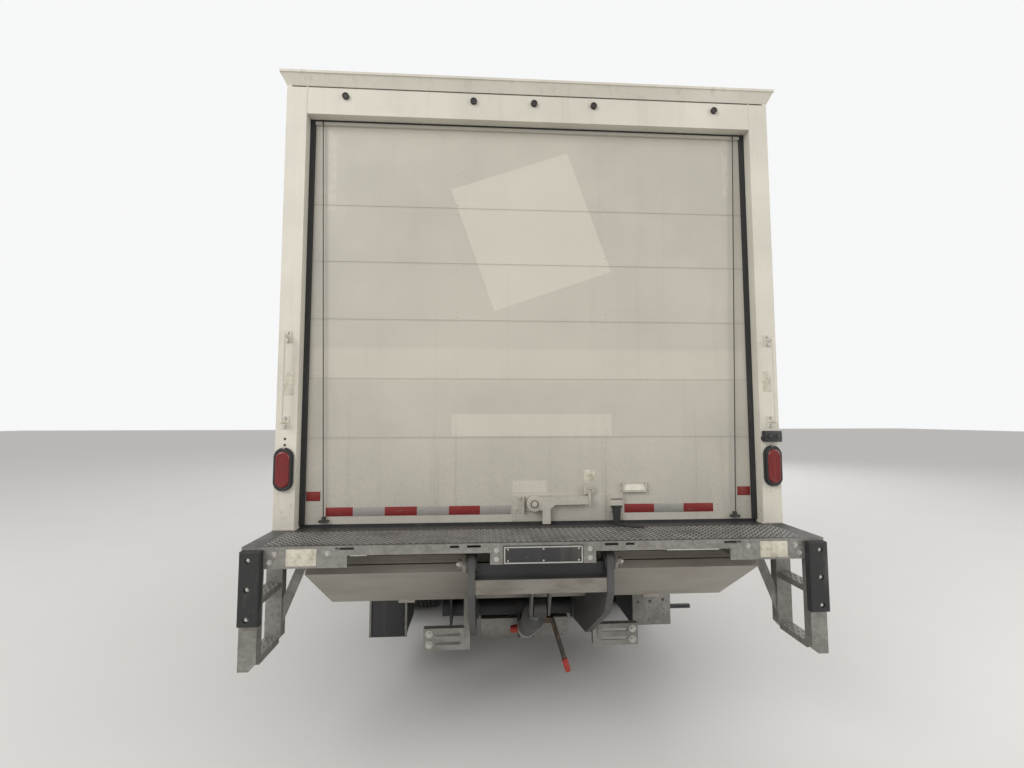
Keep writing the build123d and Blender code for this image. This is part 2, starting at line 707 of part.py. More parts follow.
def door_cables():
    """Lift cables up the door with their anchors at its foot."""
    face = BODY_REAR + DOOR_INSET
    cable_y = face - SEAL_THICK - CABLE_RADIUS - 1
    foot = block(*around(CABLE_X_LOW, 22), cable_y - 4, face, DECK_Z + 24, DECK_Z + 34)
    neck = block(*around(CABLE_X_LOW, 7), cable_y - 4, face, DECK_Z + 34, DECK_Z + 50)
    cable_top = DECK_Z + HEADER_BOTTOM - 2
    cable = rod_between((CABLE_X_LOW, cable_y, DECK_Z + 36), (CABLE_X_HIGH, cable_y, cable_top), CABLE_RADIUS)
    return both_sides(foot + neck + cable)


def door_fittings():
    """Latch with its lever and link, keeper, pull pocket and strap holder, all flat pressings."""
    face = BODY_REAR + DOOR_INSET
    z = DECK_Z

    def plate(points, reach, thick, radius=3):
        return back_plate([(x, z + rise) for x, rise in points], face - reach - thick, face - reach, radius)

    base = plate([(-46, 62), (96, 62), (96, 140), (-46, 140)], 0, 6)
    pivot = rod_between((-3, face - 4, z + 102), (-3, face - 38, z + 102), 24)
    lever = plate([(-34, 84), (-12, 70), (70, 74), (98, 96), (266, 98), (266, 137), (60, 133), (-24, 130)],
                  20, 11)
    link = plate([(36, 6), (75, 6), (75, 96), (36, 96)], 22, 8)
    latch = fuse([base, pivot, lever, link])
    fold = plate([(-108, 54), (-52, 54), (-52, 140), (-96, 140), (-108, 120)], 0, 3) + block(
        -58, -52, face - 22, face, z + 58, z + 136)
    keeper = plate([(243, 143), (298, 150), (288, 186), (262, 196), (240, 176)], 0, 18)
    pocket = block(437, 559, face - 14, face, z + 151, z + 199) - block(
        445, 551, face - 15, face - 4, z + 159, z + 200)
    holder = plate([(373, 82), (437, 82), (437, 146), (373, 146)], 0, 16)
    return [latch, fold, keeper, pocket, holder]


def oval_plate(x, z, size, y0, y1):
    width, height = size
    face = SlotOverall(height, width, rotation=90)
    return extrude(Plane.XZ.offset(-y0) * Pos(x, z) * face, amount=y0 - y1)


def tail_lamps():
    pieces = []
    z = DECK_Z + TAIL_LAMP_Z
    lens = oval_plate(TAIL_LAMP_X, z, TAIL_LENS_SIZE, BODY_REAR - 26, BODY_REAR - 12)
    lens = fillet(lens.faces().sort_by(Axis.Y)[0].edges(), 8)
    pieces += both_sides(lens)
    marker_z = DECK_Z + MARKER_Z
    for x in MARKER_XS:
        pieces.append(rod_between((x, BODY_REAR, marker_z), (x, BODY_REAR - 9, marker_z), MARKER_RADIUS))
    return pieces


def lamp_bezels():
    z = DECK_Z + TAIL_LAMP_Z
    return both_sides(oval_plate(TAIL_LAMP_X, z, TAIL_LAMP_SIZE, BODY_REAR - 12, BODY_REAR))


def grab_handles():
    y = BODY_REAR - HANDLE_REACH
    low = DECK_Z + HANDLE_LOW
    high = DECK_Z + HANDLE_HIGH
    bar = rod_between((HANDLE_X, y, low + 25), (HANDLE_X, y, high - 25), HANDLE_ROD)
    pieces = [bar]
    for z, sign in ((low + 25, -1), (high - 25, 1)):
        pieces.append(Pos(HANDLE_X, y, z) * Sphere(HANDLE_ROD))
        pieces.append(rod_between((HANDLE_X, y, z), (HANDLE_X, BODY_REAR - 5, z), HANDLE_ROD))
        pieces.append(block(HANDLE_X - 16, HANDLE_X + 16, BODY_REAR - 5, BODY_REAR, z - 28, z + 28))
    return both_sides(fuse(pieces))


# Rear deck and side steps

def rear_deck():
    y0 = DECK_REAR
    y1 = BODY_REAR
    z = DECK_Z
    half = BODY_HALF - STEP_WIDTH
    tread = block(-BODY_HALF, BODY_HALF, y0, y1, z - TREAD_THICK, z)
    beam_low = z - BEAM_DEPTH
    beam = block(-half, half, y0, y0 + BEAM_THICK, beam_low, z - TREAD_THICK)
    for side in (-1, 1):
        notch_x = sided(side, NOTCH_IN, NOTCH_OUT)
        beam = beam - block(*notch_x, y0 - 1, y0 + BEAM_THICK + 1, beam_low - 1, z - NOTCH_TOP)
        slot_z = [z + drop for drop in BEAM_SLOT_DROPS]
        for near, far in BEAM_SLOTS:
            beam = beam - block(*sided(side, near, far), y0 - 1, y0 + BEAM_THICK + 1, *slot_z)
    pieces = [tread, beam]
    for x in (half - GUSSET_END, NOTCH_OUT + GUSSET_OUT, NOTCH_IN - GUSSET_IN):
        pieces += both_sides(side_plate([(y0 + BEAM_THICK, z - TREAD_THICK), (y0 + BEAM_THICK, beam_low + 4),
                                         (y1, beam_low), (y1, z - TREAD_THICK)],
                                        *around(x, GUSSET_THICK / 2)))
    return [fuse(pieces)]


def side_step():
    """Right ladder: two posts, two treads and a brace under the deck."""
    x0 = BODY_HALF - STEP_WIDTH
    x1 = BODY_HALF
    top = DECK_Z - TREAD_THICK
    low = DECK_Z - STEP_DROP
    post = [(x0, top), (x1, top), (x1, low), (x0 + 28, low), (x0, low + 30)]
    rear = back_plate(post, DECK_REAR, DECK_REAR + STEP_POST)
    front = back_plate(post, BODY_REAR - STEP_POST, BODY_REAR)
    treads = []
    for z in (low + 6, DECK_Z - STEP_DROP / 2):
        treads.append(block(x0 + 6, x1, DECK_REAR + STEP_POST, BODY_REAR - STEP_POST, z, z + STEP_TREAD))
    bend = DECK_Z - BEAM_DEPTH
    brace_y = BODY_REAR - STEP_POST + 6
    inner = x0 - BRACE_REACH
    outer = inner + BRACE_WIDTH
    high_foot, low_foot = [DECK_Z + drop for drop in BRACE_FOOT]
    shape = [(x0, low_foot), (x0, high_foot), (outer, bend), (outer, top), (inner, top), (inner, bend)]
    brace = back_plate(shape, brace_y, brace_y + 8)
    return fuse([rear, front] + treads + [brace])


def rubber_bumpers():
    x0 = RUBBER_INNER
    x1 = RUBBER_INNER + RUBBER_WIDTH
    pad = block(x0, x1, REAR_END, DECK_REAR, DECK_Z - RUBBER_DROP, DECK_Z - RUBBER_TOP)
    pad = fillet(pad.faces().sort_by(Axis.Y)[0].edges(), 6)
    bolt_x = (x0 + x1) / 2 + 6
    for drop in RUBBER_BOLT_DROPS:
        z = DECK_Z - drop
        pad = pad - rod_between((bolt_x, REAR_END - 1, z), (bolt_x, REAR_END + 12, z), 12)
    return both_sides(pad)


# Tail lift

def lift_point(pair):
    return BODY_REAR + pair[0], DECK_Z + pair[1]


def pack_face_drop(reach):
    """Height of the folded platform's outer face at a distance ahead of the posts."""
    slope = (PACK_FRONT[1] - PACK_REAR[1]) / (PACK_FRONT[0] - PACK_REAR[0])
    return PACK_REAR[1] + slope * (reach - PACK_REAR[0])


def lift_mount():
    """Fixed cross tube, the plates that hang it from the rails and the cylinder's clevis."""
    y, z = lift_point(LIFT_PIVOT)
    tube = rod_x(-RAIL_HALF - 60, RAIL_HALF + 60, y, z, LIFT_TUBE)
    outline = [(RAIL_Y0 + 40, RAIL_TOP - 10), (RAIL_Y0 + 420, RAIL_TOP - 10), (RAIL_Y0 + 400, RAIL_LOW),
               (y + 75, z - 70), (y - 75, z - 70), (y - 75, z + 40), (RAIL_Y0 + 40, RAIL_LOW)]
    plate = side_plate(outline, RAIL_HALF, RAIL_HALF + 14)
    pieces = [tube] + both_sides(plate)
    base_y, base_z = lift_point(CYLINDER_BASE)
    x0 = EYE_HALF + CLEVIS_GAP
    ear = [(y - 40, z), (y + 40, z), (base_y + 34, base_z - 34), (base_y - 34, base_z - 34)]
    pieces += both_sides(side_plate(ear, x0, x0 + CLEVIS_THICK))
    pieces.append(rod_x(-x0 - CLEVIS_THICK, x0 + CLEVIS_THICK, base_y, base_z, CYLINDER_PIN))
    return [fuse(pieces)]


def lift_arms():
    """Two bent arms, their cross tube, the bare plate over it and the rod's clevis."""
    y, z = lift_point(LIFT_PIVOT)
    hy, hz = lift_point(LIFT_HINGE)
    corners = ((-216, -66), (-216, -232), (-150, -345), (250, -600), (610, -668), (660, -560),
               (300, pack_face_drop(300)), (-128, pack_face_drop(-128)), (-128, -66))
    outline = [lift_point(corner) for corner in corners]
    x0 = LIFT_ARM_X - LIFT_ARM_THICK / 2
    x1 = LIFT_ARM_X + LIFT_ARM_THICK / 2
    arm = side_plate(outline, x0, x1, 28)
    boss = rod_x(x0 - 12, x1 + 12, y, z, LIFT_BOSS)
    eye = rod_x(x0 - 8, x1 + 8, hy, hz, 40)
    one = fuse([arm, boss, eye]) - rod_x(x0 - 20, x1 + 20, y, z, LIFT_TUBE + SPIN_CLEAR)
    pieces = both_sides(one)
    ty0, tz0 = lift_point(CROSS_TUBE)
    deep, high = CROSS_TUBE_SIZE
    tube = block(-x0, x0, ty0, ty0 + deep, tz0, tz0 + high)
    tube = tube - block(-x0, x0, ty0 + 6, ty0 + deep - 6, tz0 + 6, tz0 + high - 6)
    plate = block(-x0, x0, ty0 + 30, ty0 + 38, tz0 + high, tz0 + high + 62)
    pieces += [tube, plate]
    rod_y, rod_z = lift_point(CYLINDER_EYE)
    c0 = EYE_HALF + CLEVIS_GAP
    cheek = [(ty0 + 4, tz0), (ty0 + 72, tz0), (rod_y + 26, rod_z - 22), (rod_y - 26, rod_z - 22)]
    pieces += both_sides(side_plate(cheek, c0, c0 + CLEVIS_THICK))
    pieces.append(rod_x(-c0 - CLEVIS_THICK, c0 + CLEVIS_THICK, rod_y, rod_z, CYLINDER_PIN))
    return [fuse(pieces)]


def lift_cradles():
    """Slotted channels on upright struts beside the arms, which carry the folded platform."""
    y, z = lift_point(CRADLE_FOOT)
    x0, x1 = CRADLE_SPAN
    wall = CRADLE_WALL
    channel = block(x0, x1, y, y + CRADLE_DEPTH, z, z + CRADLE_HEIGHT) - block(
        x0 + wall, x1 + 1, y + wall, y + CRADLE_DEPTH + 1, z + wall, z + CRADLE_HEIGHT - wall)
    for drop in CRADLE_LEVELS:
        slot = block(*CRADLE_SLOT, y - 1, y + wall + 1, *around(DECK_Z + drop, 7))
        channel = channel - fillet(slot.edges().filter_by(Axis.Y), 6)
    top = [lift_point((reach, pack_face_drop(reach))) for reach in (262, 222)]
    strut = side_plate([(y, z), (y + CRADLE_DEPTH, z)] + top, LIFT_ARM_X + LIFT_ARM_THICK / 2, x0 + wall)
    return both_sides(channel + strut)


def pack_frame():
    y0, z0 = lift_point(PACK_REAR)
    y1, z1 = lift_point(PACK_FRONT)
    length = math.hypot(y1 - y0, z1 - z0)
    along = ((y1 - y0) / length, (z1 - z0) / length)
    normal = (-along[1], along[0])
    return (y0, z0), length, along, normal


def platform_pack():
    """Folded platform: leaves stacked on the arms, each with a rounded edge, and hinge strips."""
    start, length, along, normal = pack_frame()

    def at(s, t):
        return start[0] + along[0] * s + normal[0] * t, start[1] + along[1] * s + normal[1] * t

    pieces = []
    front_half = PACK_HALF - PACK_TAPER
    rear_y = start[0]
    front_y = start[0] + length
    plan = [(-PACK_HALF, rear_y), (-front_half, front_y), (front_half, front_y), (PACK_HALF, rear_y)]
    taper = plan_plate(plan, DECK_Z - 700, DECK_Z)
    for number in range(LEAF_COUNT):
        t0 = number * LEAF_PITCH
        t1 = t0 + LEAF_THICK
        s1 = length - 26 * (number % 2)
        outline = [at(0, t0), at(s1, t0), at(s1, t1), at(0, t1)]
        half = PACK_HALF - number * LEAF_INSET
        leaf = side_plate(outline, -half, half)
        pieces.append(leaf & taper)
    for number in range(LEAF_COUNT - 1):
        t0 = number * LEAF_PITCH + LEAF_THICK
        s0 = 20 if number % 2 else length - 66
        t1 = t0 + LEAF_PITCH - LEAF_THICK
        outline = [at(s0, t0), at(s0 + 30, t0), at(s0 + 30, t1), at(s0, t1)]
        end = PACK_HALF - STRIP_IN
        for strip in range(STRIP_COUNT):
            x = -end + 2 * end * strip / (STRIP_COUNT - 1)
            pieces.append(side_plate(outline, *around(x, STRIP_HALF)))
    hy, hz = lift_point(LIFT_HINGE)
    knife = [at(0, 4), at(60, 4), at(60, 66), at(0, 74), (hy, hz + 34), (hy - 34, hz), (hy, hz - 34)]
    near = LIFT_ARM_X + LIFT_ARM_THICK / 2 + 8
    for side in (-1, 1):
        pieces.append(side_plate(knife, *sided(side, near + 1, near + 17)))
        pieces.append(rod_x(*sided(side, near, near + 29), hy, hz, 16))
    return [fuse(pieces)]


def cylinder_axis():
    y0, z0 = lift_point(CYLINDER_BASE)
    y1, z1 = lift_point(CYLINDER_EYE)
    length = math.hypot(y1 - y0, z1 - z0)
    return (y0, z0), ((y1 - y0) / length, (z1 - z0) / length), length


def on_cylinder(s):
    base, along, length = cylinder_axis()
    return 0, base[0] + along[0] * s, base[1] + along[1] * s


def lift_barrel():
    eye = rod_x(-EYE_HALF, EYE_HALF, *on_cylinder(0)[1:], EYE_RADIUS)
    neck = rod_between(on_cylinder(0), on_cylinder(BARREL_START + 10), EYE_HALF)
    tube = rod_between(on_cylinder(BARREL_START), on_cylinder(BARREL_END), BARREL_RADIUS)
    gland = rod_between(on_cylinder(BARREL_END - 40), on_cylinder(BARREL_END + 12), BARREL_RADIUS + 5)
    bore = rod_between(on_cylinder(BARREL_START + 20), on_cylinder(BARREL_END - 30), BARREL_BORE)
    rod_way = (on_cylinder(BARREL_START + 30), on_cylinder(BARREL_END + 20))
    rod_bore = rod_between(*rod_way, ROD_RADIUS + SPIN_CLEAR)
    pin_bore = rod_x(-EYE_HALF - 40, EYE_HALF + 40, *on_cylinder(0)[1:], CYLINDER_PIN + SPIN_CLEAR)
    return [cut(fuse([eye, neck, tube, gland]), [bore, rod_bore, pin_bore])]


def lift_rod():
    length = cylinder_axis()[2]
    rod = rod_between(on_cylinder(PISTON_AT), on_cylinder(length), ROD_RADIUS)
    piston_end = on_cylinder(PISTON_AT + PISTON_LENGTH)
    piston = rod_between(on_cylinder(PISTON_AT), piston_end, BARREL_BORE - SPIN_CLEAR)
    eye = rod_x(-EYE_HALF, EYE_HALF, *on_cylinder(length)[1:], EYE_RADIUS)
    hole = rod_x(-EYE_HALF - 1, EYE_HALF + 1, *on_cylinder(length)[1:], CYLINDER_PIN + EYE_CLEAR)
    return [fuse([rod, piston, eye]) - hole]


def lift_boxes():
    """Battery box on the left and power pack box on the right, strapped up to the cross sills."""
    y0, y1 = around(BOX_MID, BOX_LENGTH / 2)
    pieces = []
    for side, (near, far, drop) in ((-1, BATTERY_BOX), (1, POWER_BOX)):
        x0, x1 = sided(side, near, far)
        low = DECK_Z + drop
        box = block(x0, x1, y0, y1, low, DECK_Z + BOX_TOP)
        box = fillet(box.edges().filter_by(Axis.Z), 10)
        straps = []
        for edge in (x0 + 2, x1 - 2):
            for y in (y0 + 60, y1 - 60):
                straps.append(block(*around(edge, 3), *around(y, 20), low, SILL_LOW))
        pieces.append(fuse([box] + straps))
    bar_end, bar_drop = POWER_BAR
    bar = block(POWER_BOX[1] - 20, bar_end, y0 + 14, y0 + 36, *around(DECK_Z + bar_drop, 10))
    pieces[1] = pieces[1] + bar
    return pieces


# Wheels

def tyre(x_mid, y_mid):
    """Tyre ring with a rounded shoulder, its axle along X."""
    h = TYRE_HALF
    r = TYRE_RADIUS
    b = BEAD_RADIUS
    rim = RIM_HALF - 9
    edges = [Line((-rim, b), (rim, b)), Line((rim, b), (rim, b + 14)),
             ThreePointArc((rim, b + 14), (h, b + 80), (h - 14, r - 26)),
             ThreePointArc((h - 14, r - 26), (h - 22, r - 9), (h - 38, r - 3)),
             ThreePointArc((h - 38, r - 3), (0, r), (-h + 38, r - 3)),
             ThreePointArc((-h + 38, r - 3), (-h + 22, r - 9), (-h + 14, r - 26)),
             ThreePointArc((-h + 14, r - 26), (-h, b + 80), (-rim, b + 14)),
             Line((-rim, b + 14), (-rim, b))]
    face = make_face(Curve() + edges)
    ring = revolve(face, Axis.X, 360)
    return Pos(x_mid, y_mid, AXLE_Z) * ring


def wheel_disc(x_mid, y_mid, side, dish, hub_radius):
    """Steel wheel: rim and dished disc with hand holes; side is the way the disc is dished."""
    rim = RIM_HALF
    b = BEAD_RADIUS
    ring = [(-rim, b), (-rim, b + 14), (-rim + 9, b + 14), (-rim + 9, b), (rim - 9, b), (rim - 9, b + 14),
            (rim, b + 14), (rim, b), (rim - 10, b - 12), (36, b - 34), (-36, b - 34), (-rim + 10, b - 12)]
    bend = dish * 0.55
    disc = [(-6, b - 28), (6, b - 28), (bend + 12, b - 110), (dish + 12, 150), (dish + 12, hub_radius - 8),
            (dish, hub_radius - 8), (dish, 145), (bend, b - 115)]
    pieces = []
    for outline in (ring, disc):
        points = [(side * x, r) for x, r in outline]
        pieces.append(revolve(make_face(Polyline(*points, close=True)), Axis.X, 360))
    plate = pieces[1]
    for number in range(HAND_HOLES):
        turn = Rot(360 / HAND_HOLES * number, 0, 0)
        plate = plate - turn * rod_between((-220, 0, HAND_HOLE_AT), (220, 0, HAND_HOLE_AT), HAND_HOLE_RADIUS)
    return Pos(x_mid, y_mid, AXLE_Z) * (pieces[0] + plate)


def hub(x0, x1, y_mid, bore, radius):
    return rod_x(x0, x1, y_mid, AXLE_Z, radius) - rod_x(min(x0, x1) - 1, max(x0, x1) + 1, y_mid, AXLE_Z, bore)


def front_wheel(side):
    x = side * FRONT_TRACK_HALF
    bore = FRONT_SPINDLE + SPIN_CLEAR
    disc = wheel_disc(x, FRONT_AXLE_Y, side, FRONT_DISH, HUB_RADIUS)
    drum = hub(x - side * 14, x + side * 130, FRONT_AXLE_Y, bore, HUB_RADIUS)
    return [disc + drum]


def rear_wheels(side):
    bore = REAR_SPINDLE + SPIN_CLEAR
    radius = HUB_RADIUS + 10
    outer = wheel_disc(side * (DUAL_MID + DUAL_SPACING / 2), REAR_AXLE_Y, -side, REAR_DISH, radius)
    inner = wheel_disc(side * (DUAL_MID - DUAL_SPACING / 2), REAR_AXLE_Y, side, REAR_DISH, radius)
    drum = hub(side * (DUAL_MID - 90), side * (DUAL_MID + 195), REAR_AXLE_Y, bore, radius)
    return [outer + inner + drum]


def knuckle(side):
    """Forked knuckle around the kingpin with the spindle, backing plate and steering arm."""
    x = side * KINGPIN_X
    y = FRONT_AXLE_Y
    fork = []
    for level in (-1, 1):
        z0, z1 = sided(level, 58, 92)
        fork.append(rod_between((x, y, AXLE_Z + z0), (x, y, AXLE_Z + z1), 36))
        fork.append(block(*sided(side, KINGPIN_X, KINGPIN_X + 62), y - 34, y + 34, AXLE_Z + z0, AXLE_Z + z1))
    web = block(*sided(side, KINGPIN_X + 46, KINGPIN_X + 66), y - 60, y + 60, *around(AXLE_Z, 92))
    spindle = rod_x(*sided(side, KINGPIN_X + 50, FRONT_TRACK_HALF + 110), y, AXLE_Z, FRONT_SPINDLE)
    arm = block(*sided(side, KINGPIN_X, KINGPIN_X + 50), y - 170, y - 20, AXLE_Z - 92, AXLE_Z - 66)
    whole = fuse(fork + [web, spindle, arm])
    return [whole - rod_between((x, y, AXLE_Z - 120), (x, y, AXLE_Z + 120), KINGPIN_RADIUS + SPIN_CLEAR)]


# Cab

def cab_side_face():
    y = CAB_NOSE
    points = [(y - 22, CAB_SKIRT_Z), (y, CAB_NOSE_Z), (y - SCREEN_FOOT[0], SCREEN_FOOT[1]),
              (y - SCREEN_HEAD[0], SCREEN_HEAD[1]), (y - BROW[0], CAB_ROOF_Z - BROW[1]),
              (CAB_BACK + BACK_CORNER, CAB_ROOF_Z), (CAB_BACK, CAB_ROOF_Z - BACK_CORNER),
              (CAB_BACK, CAB_SKIRT_Z)]
    return make_face(Polyline(*points, close=True))


def bowed_plan(half, y_back, y_nose, inset):
    """Plan outline with a bowed front and rounded front corners, drawn in by an even amount."""
    h = half - inset
    back = y_back + inset
    nose = y_nose - inset
    front = nose - NOSE_BOW
    deep = CORNER_DEEP
    wide = CORNER_WIDE
    edges = [Line((-h, back), (-h, front - deep)),
             ThreePointArc((-h, front - deep), (-h + wide * 0.3, front - deep * 0.28), (-h + wide, front)),
             ThreePointArc((-h + wide, front), (0, nose), (h - wide, front)),
             ThreePointArc((h - wide, front), (h - wide * 0.3, front - deep * 0.28), (h, front - deep)),
             Line((h, front - deep), (h, back)), Line((h, back), (-h, back))]
    return make_face(Curve() + edges)


def cab_front_face():
    h = CAB_HALF
    t = CAB_TOP_HALF
    z = CAB_ROOF_Z
    s = CAB_SHOULDER
    points = [(-h, CAB_SKIRT_Z), (-h, CAB_BELT), (-t, z - s), (-t + s, z), (t - s, z), (t, z - s),
              (h, CAB_BELT), (h, CAB_SKIRT_Z)]
    return make_face(Polyline(*points, close=True))


def cab_solid(inset):
    """Cab's outer form drawn in by an even amount, as three crossing outlines."""
    side = cab_side_face()
    plan = bowed_plan(CAB_HALF, CAB_BACK, CAB_NOSE, inset)
    front = cab_front_face()
    if inset:
        side = offset(side, -inset, kind=Kind.INTERSECTION)
        front = offset(front, -inset, kind=Kind.INTERSECTION)
    a = extrude(Plane.YZ.offset(-CAB_HALF - 10) * side, amount=2 * CAB_HALF + 20)
    b = extrude(Plane.XY.offset(CAB_SKIRT_Z - 10) * plan, amount=CAB_ROOF_Z)
    c = extrude(Plane.XZ.offset(-CAB_BACK + 10) * front, amount=-CAB_LENGTH - 40)
    return a & b & c


def door_outline(grow):
    y = CAB_NOSE
    g = grow
    front = y - DOOR_FRONT + g
    back = y - DOOR_BACK - g
    low, bend, top = DOOR_LEVELS
    return [(front, low - g), (front, bend), (front - DOOR_SLANT, top + g), (back, top + g),
            (back, low - g)]


def window_outline(grow):
    y = CAB_NOSE
    g = grow
    front = y - DOOR_FRONT - WINDOW_FRONT + g
    back = y - DOOR_BACK + WINDOW_BACK - g
    low, bend, top = WINDOW_LEVELS
    return [(front, low - g), (front, bend), (front - WINDOW_SLANT, top + g), (back, top + g),
            (back, low - g)]


def screen_outline(grow):
    foot, head = [CAB_HALF - inset + grow for inset in SCREEN_IN]
    low = SCREEN_LEVELS[0] - grow
    top = SCREEN_LEVELS[1] + grow
    return [(-foot, low), (foot, low), (head, top), (-head, top)]


def rear_window_outline(grow):
    half = REAR_WINDOW_HALF + grow
    low = REAR_WINDOW_LEVELS[0] - grow
    top = REAR_WINDOW_LEVELS[1] + grow
    return [(-half, low), (half, low), (half, top), (-half, top)]


def grille_outline(grow):
    foot, head = [LAMP_NEAR - gap + grow for gap in GRILLE_GAP]
    low = GRILLE_LEVELS[0] - grow
    top = GRILLE_LEVELS[1] + grow
    return [(-foot, low), (foot, low), (head, top), (-head, top)]


def lamp_outline(grow):
    g = grow
    near_low, near_top, far_low, far_top = LAMP_LEVELS
    near = LAMP_NEAR - g
    far = LAMP_FAR + g
    return [(near, near_low - g), (far, far_low - g), (far, far_top + g), (near, near_top + g)]


def hinge_axis(side):
    return side * (CAB_HALF + HINGE_OUT), CAB_NOSE - DOOR_FRONT + DOOR_CUT_GAP / 2


def hinge_half(side, forward):
    """Door hinge knuckles: ears with the pin on the cab, or the barrel on the door."""
    x, y = hinge_axis(side)
    leaf_x = sided(side, CAB_HALF - 55, CAB_HALF + HINGE_OUT)
    neck_x = sided(side, CAB_HALF + HINGE_OUT - 8, CAB_HALF + HINGE_OUT)
    leaf_y, neck_y = ((y + 6, y + 40), (y, y + 10)) if forward else ((y - 40, y - 6), (y - 10, y))
    pieces = []
    for z in HINGE_LEVELS:
        spans = ((z - 34, z - 22), (z + 22, z + 34)) if forward else ((z - 18, z + 18),)
        for z0, z1 in spans:
            pieces.append(block(*leaf_x, *leaf_y, z0, z1))
            pieces.append(block(*neck_x, *neck_y, z0, z1))
            pieces.append(rod_between((x, y, z0), (x, y, z1), HINGE_RADIUS))
        if forward:
            pieces.append(rod_between((x, y, z - 34), (x, y, z + 34), HINGE_PIN))
    return fuse(pieces)


def cab_shell(outer, inner):
    y = CAB_NOSE
    half = CAB_HALF - CAB_WALL
    back = CAB_BACK + CAB_WALL
    front = y - 75 - CAB_WALL
    near = half - SKIRT_IN
    bend = y - SKIRT_BACK
    skirt = [(-half, back), (half, back), (half, bend), (near, front), (-near, front), (-half, bend)]
    shell = outer - (inner + plan_plate(skirt, CAB_SKIRT_Z - 20, CAB_NOSE_Z + 20))
    for side in (-1, 1):
        span = sided(side, 500, CAB_HALF + 20)
        shell = shell - side_plate(door_outline(DOOR_CUT_GAP), *span, 40)
        shell = shell - rod_x(*span, FRONT_AXLE_Y, AXLE_Z, ARCH_RADIUS)
    rail_half = RAIL_HALF + 60
    shell = shell - block(-rail_half, rail_half, CAB_BACK - 5, back + 5, CAB_SKIRT_Z - 5, CAB_FLOOR_Z)
    shell = shell - back_plate(screen_outline(0), y - 620, y + 20, 50)
    shell = shell - back_plate(rear_window_outline(0), CAB_BACK - 5, CAB_BACK + CAB_WALL + 20, 50)
    shell = shell - back_plate(grille_outline(0), y - 140, y + 20, 20)
    for side in (-1, 1):
        outline = [(side * x, z) for x, z in lamp_outline(0)]
        shell = shell - back_plate(outline, y - 420, y + 20, 20)
    for side in (-1, 1):
        shell = shell + hinge_half(side, True)
    hinge_y = y - PIVOT_BACK
    ear = side_plate([(hinge_y - 50, CAB_FLOOR_Z), (hinge_y + 50, CAB_FLOOR_Z), (hinge_y + 34, PIVOT_Z - 32),
                      (hinge_y - 34, PIVOT_Z - 32)], RAIL_HALF + 17, RAIL_HALF + 29)
    ear = ear - rod_x(RAIL_HALF, RAIL_HALF + 50, hinge_y, PIVOT_Z, PIVOT_PIN + SPIN_CLEAR)
    return [shell], both_sides(ear)


def cab_floor(inner, ears):
    y = CAB_NOSE
    tray = block(-CAB_HALF, CAB_HALF, CAB_BACK, y, CAB_FLOOR_Z, CAB_FLOOR_Z + CAB_FLOOR_THICK)
    wide = TUNNEL_HALF
    end = y - TUNNEL_END
    wall = TUNNEL_WALL
    tunnel = block(-wide, wide, CAB_BACK, end, CAB_FLOOR_Z, TUNNEL_TOP)
    tunnel_bore = block(wall - wide, wide - wall, CAB_BACK - 1, end - wall, CAB_FLOOR_Z - 1, TUNNEL_TOP - wall)
    floor = ((tray + tunnel) - tunnel_bore) & inner
    return [fuse([floor] + ears)]


def cab_door(outer, inner, side):
    span = sided(side, 500, CAB_HALF + 20)
    door = (outer - inner) & side_plate(door_outline(0), *span, 36)
    door = door - side_plate(window_outline(0), *span, 30) + hinge_half(side, False)
    x, y = hinge_axis(side)
    for z in HINGE_LEVELS:
        door = door - rod_between((x, y, z - 20), (x, y, z + 20), HINGE_PIN + SPIN_CLEAR)
    return [door]


def door_glass(outer_glass, inner_glass, side):
    span = sided(side, 500, CAB_HALF + 20)
    return [(outer_glass - inner_glass) & side_plate(window_outline(-GLASS_FIT), *span, 30)]


def cab_glass(outer_glass, inner_glass):
    y = CAB_NOSE
    band = outer_glass - inner_glass
    screen = band & back_plate(screen_outline(-GLASS_FIT), y - 600, y + 20, 50)
    rear = band & back_plate(rear_window_outline(-GLASS_FIT), CAB_BACK - 5, CAB_BACK + CAB_WALL, 50)
    return [screen, rear]


def grille(outer, inner):
    """Curved panel set in the nose, slotted into bars."""
    y = CAB_NOSE
    panel = (outer - inner) & back_plate(grille_outline(-GLASS_FIT), y - 120, y + 20, 20)
    far = LAMP_NEAR - GRILLE_GAP[0] - GRILLE_EDGE
    for number in range(GRILLE_SLOTS):
        z0 = GRILLE_LEVELS[0] + SLOT_START + number * SLOT_PITCH
        z1 = z0 + SLOT_HEIGHT
        for x0, x1 in ((-far, -GRILLE_POST), (GRILLE_POST, far)):
            panel = panel - back_plate([(x0, z0), (x1, z0), (x1, z1), (x0, z1)], y - 121, y + 21, 8)
    return [panel]


def headlamps(outer, inner):
    y = CAB_NOSE
    pieces = []
    for side in (-1, 1):
        outline = [(side * x, z) for x, z in lamp_outline(-GLASS_FIT)]
        pieces.append((outer - inner) & back_plate(outline, y - 400, y + 20, 20))
    return pieces


def front_bumper():
    """Wrap-round bumper with its inside open, on two brackets from the rails."""
    y = NOSE
    h = CAB_HALF
    outer = extrude(Plane.XY.offset(340) * bowed_plan(h, y - 420, y, 0), amount=250)
    inner = extrude(Plane.XY.offset(330) * bowed_plan(h, y - 420, y, 30), amount=270)
    back = block(-h - 1, h + 1, y - 430, y - 380, 330, 600)
    shell = (outer - inner) - back
    arm = block(RAIL_HALF - 40, RAIL_HALF - 28, RAIL_Y1 - 140, y - 75, 400, 480)
    leg = block(RAIL_HALF - 40, RAIL_HALF - 28, RAIL_Y1 - 140, RAIL_Y1 - 20, 480, RAIL_LOW)
    brackets = both_sides(arm + leg)
    feet = both_sides(block(RAIL_HALF - 90, RAIL_HALF + 20, y - 75, y - 40, 400, 480) & inner)
    return [fuse([shell] + brackets + feet)]


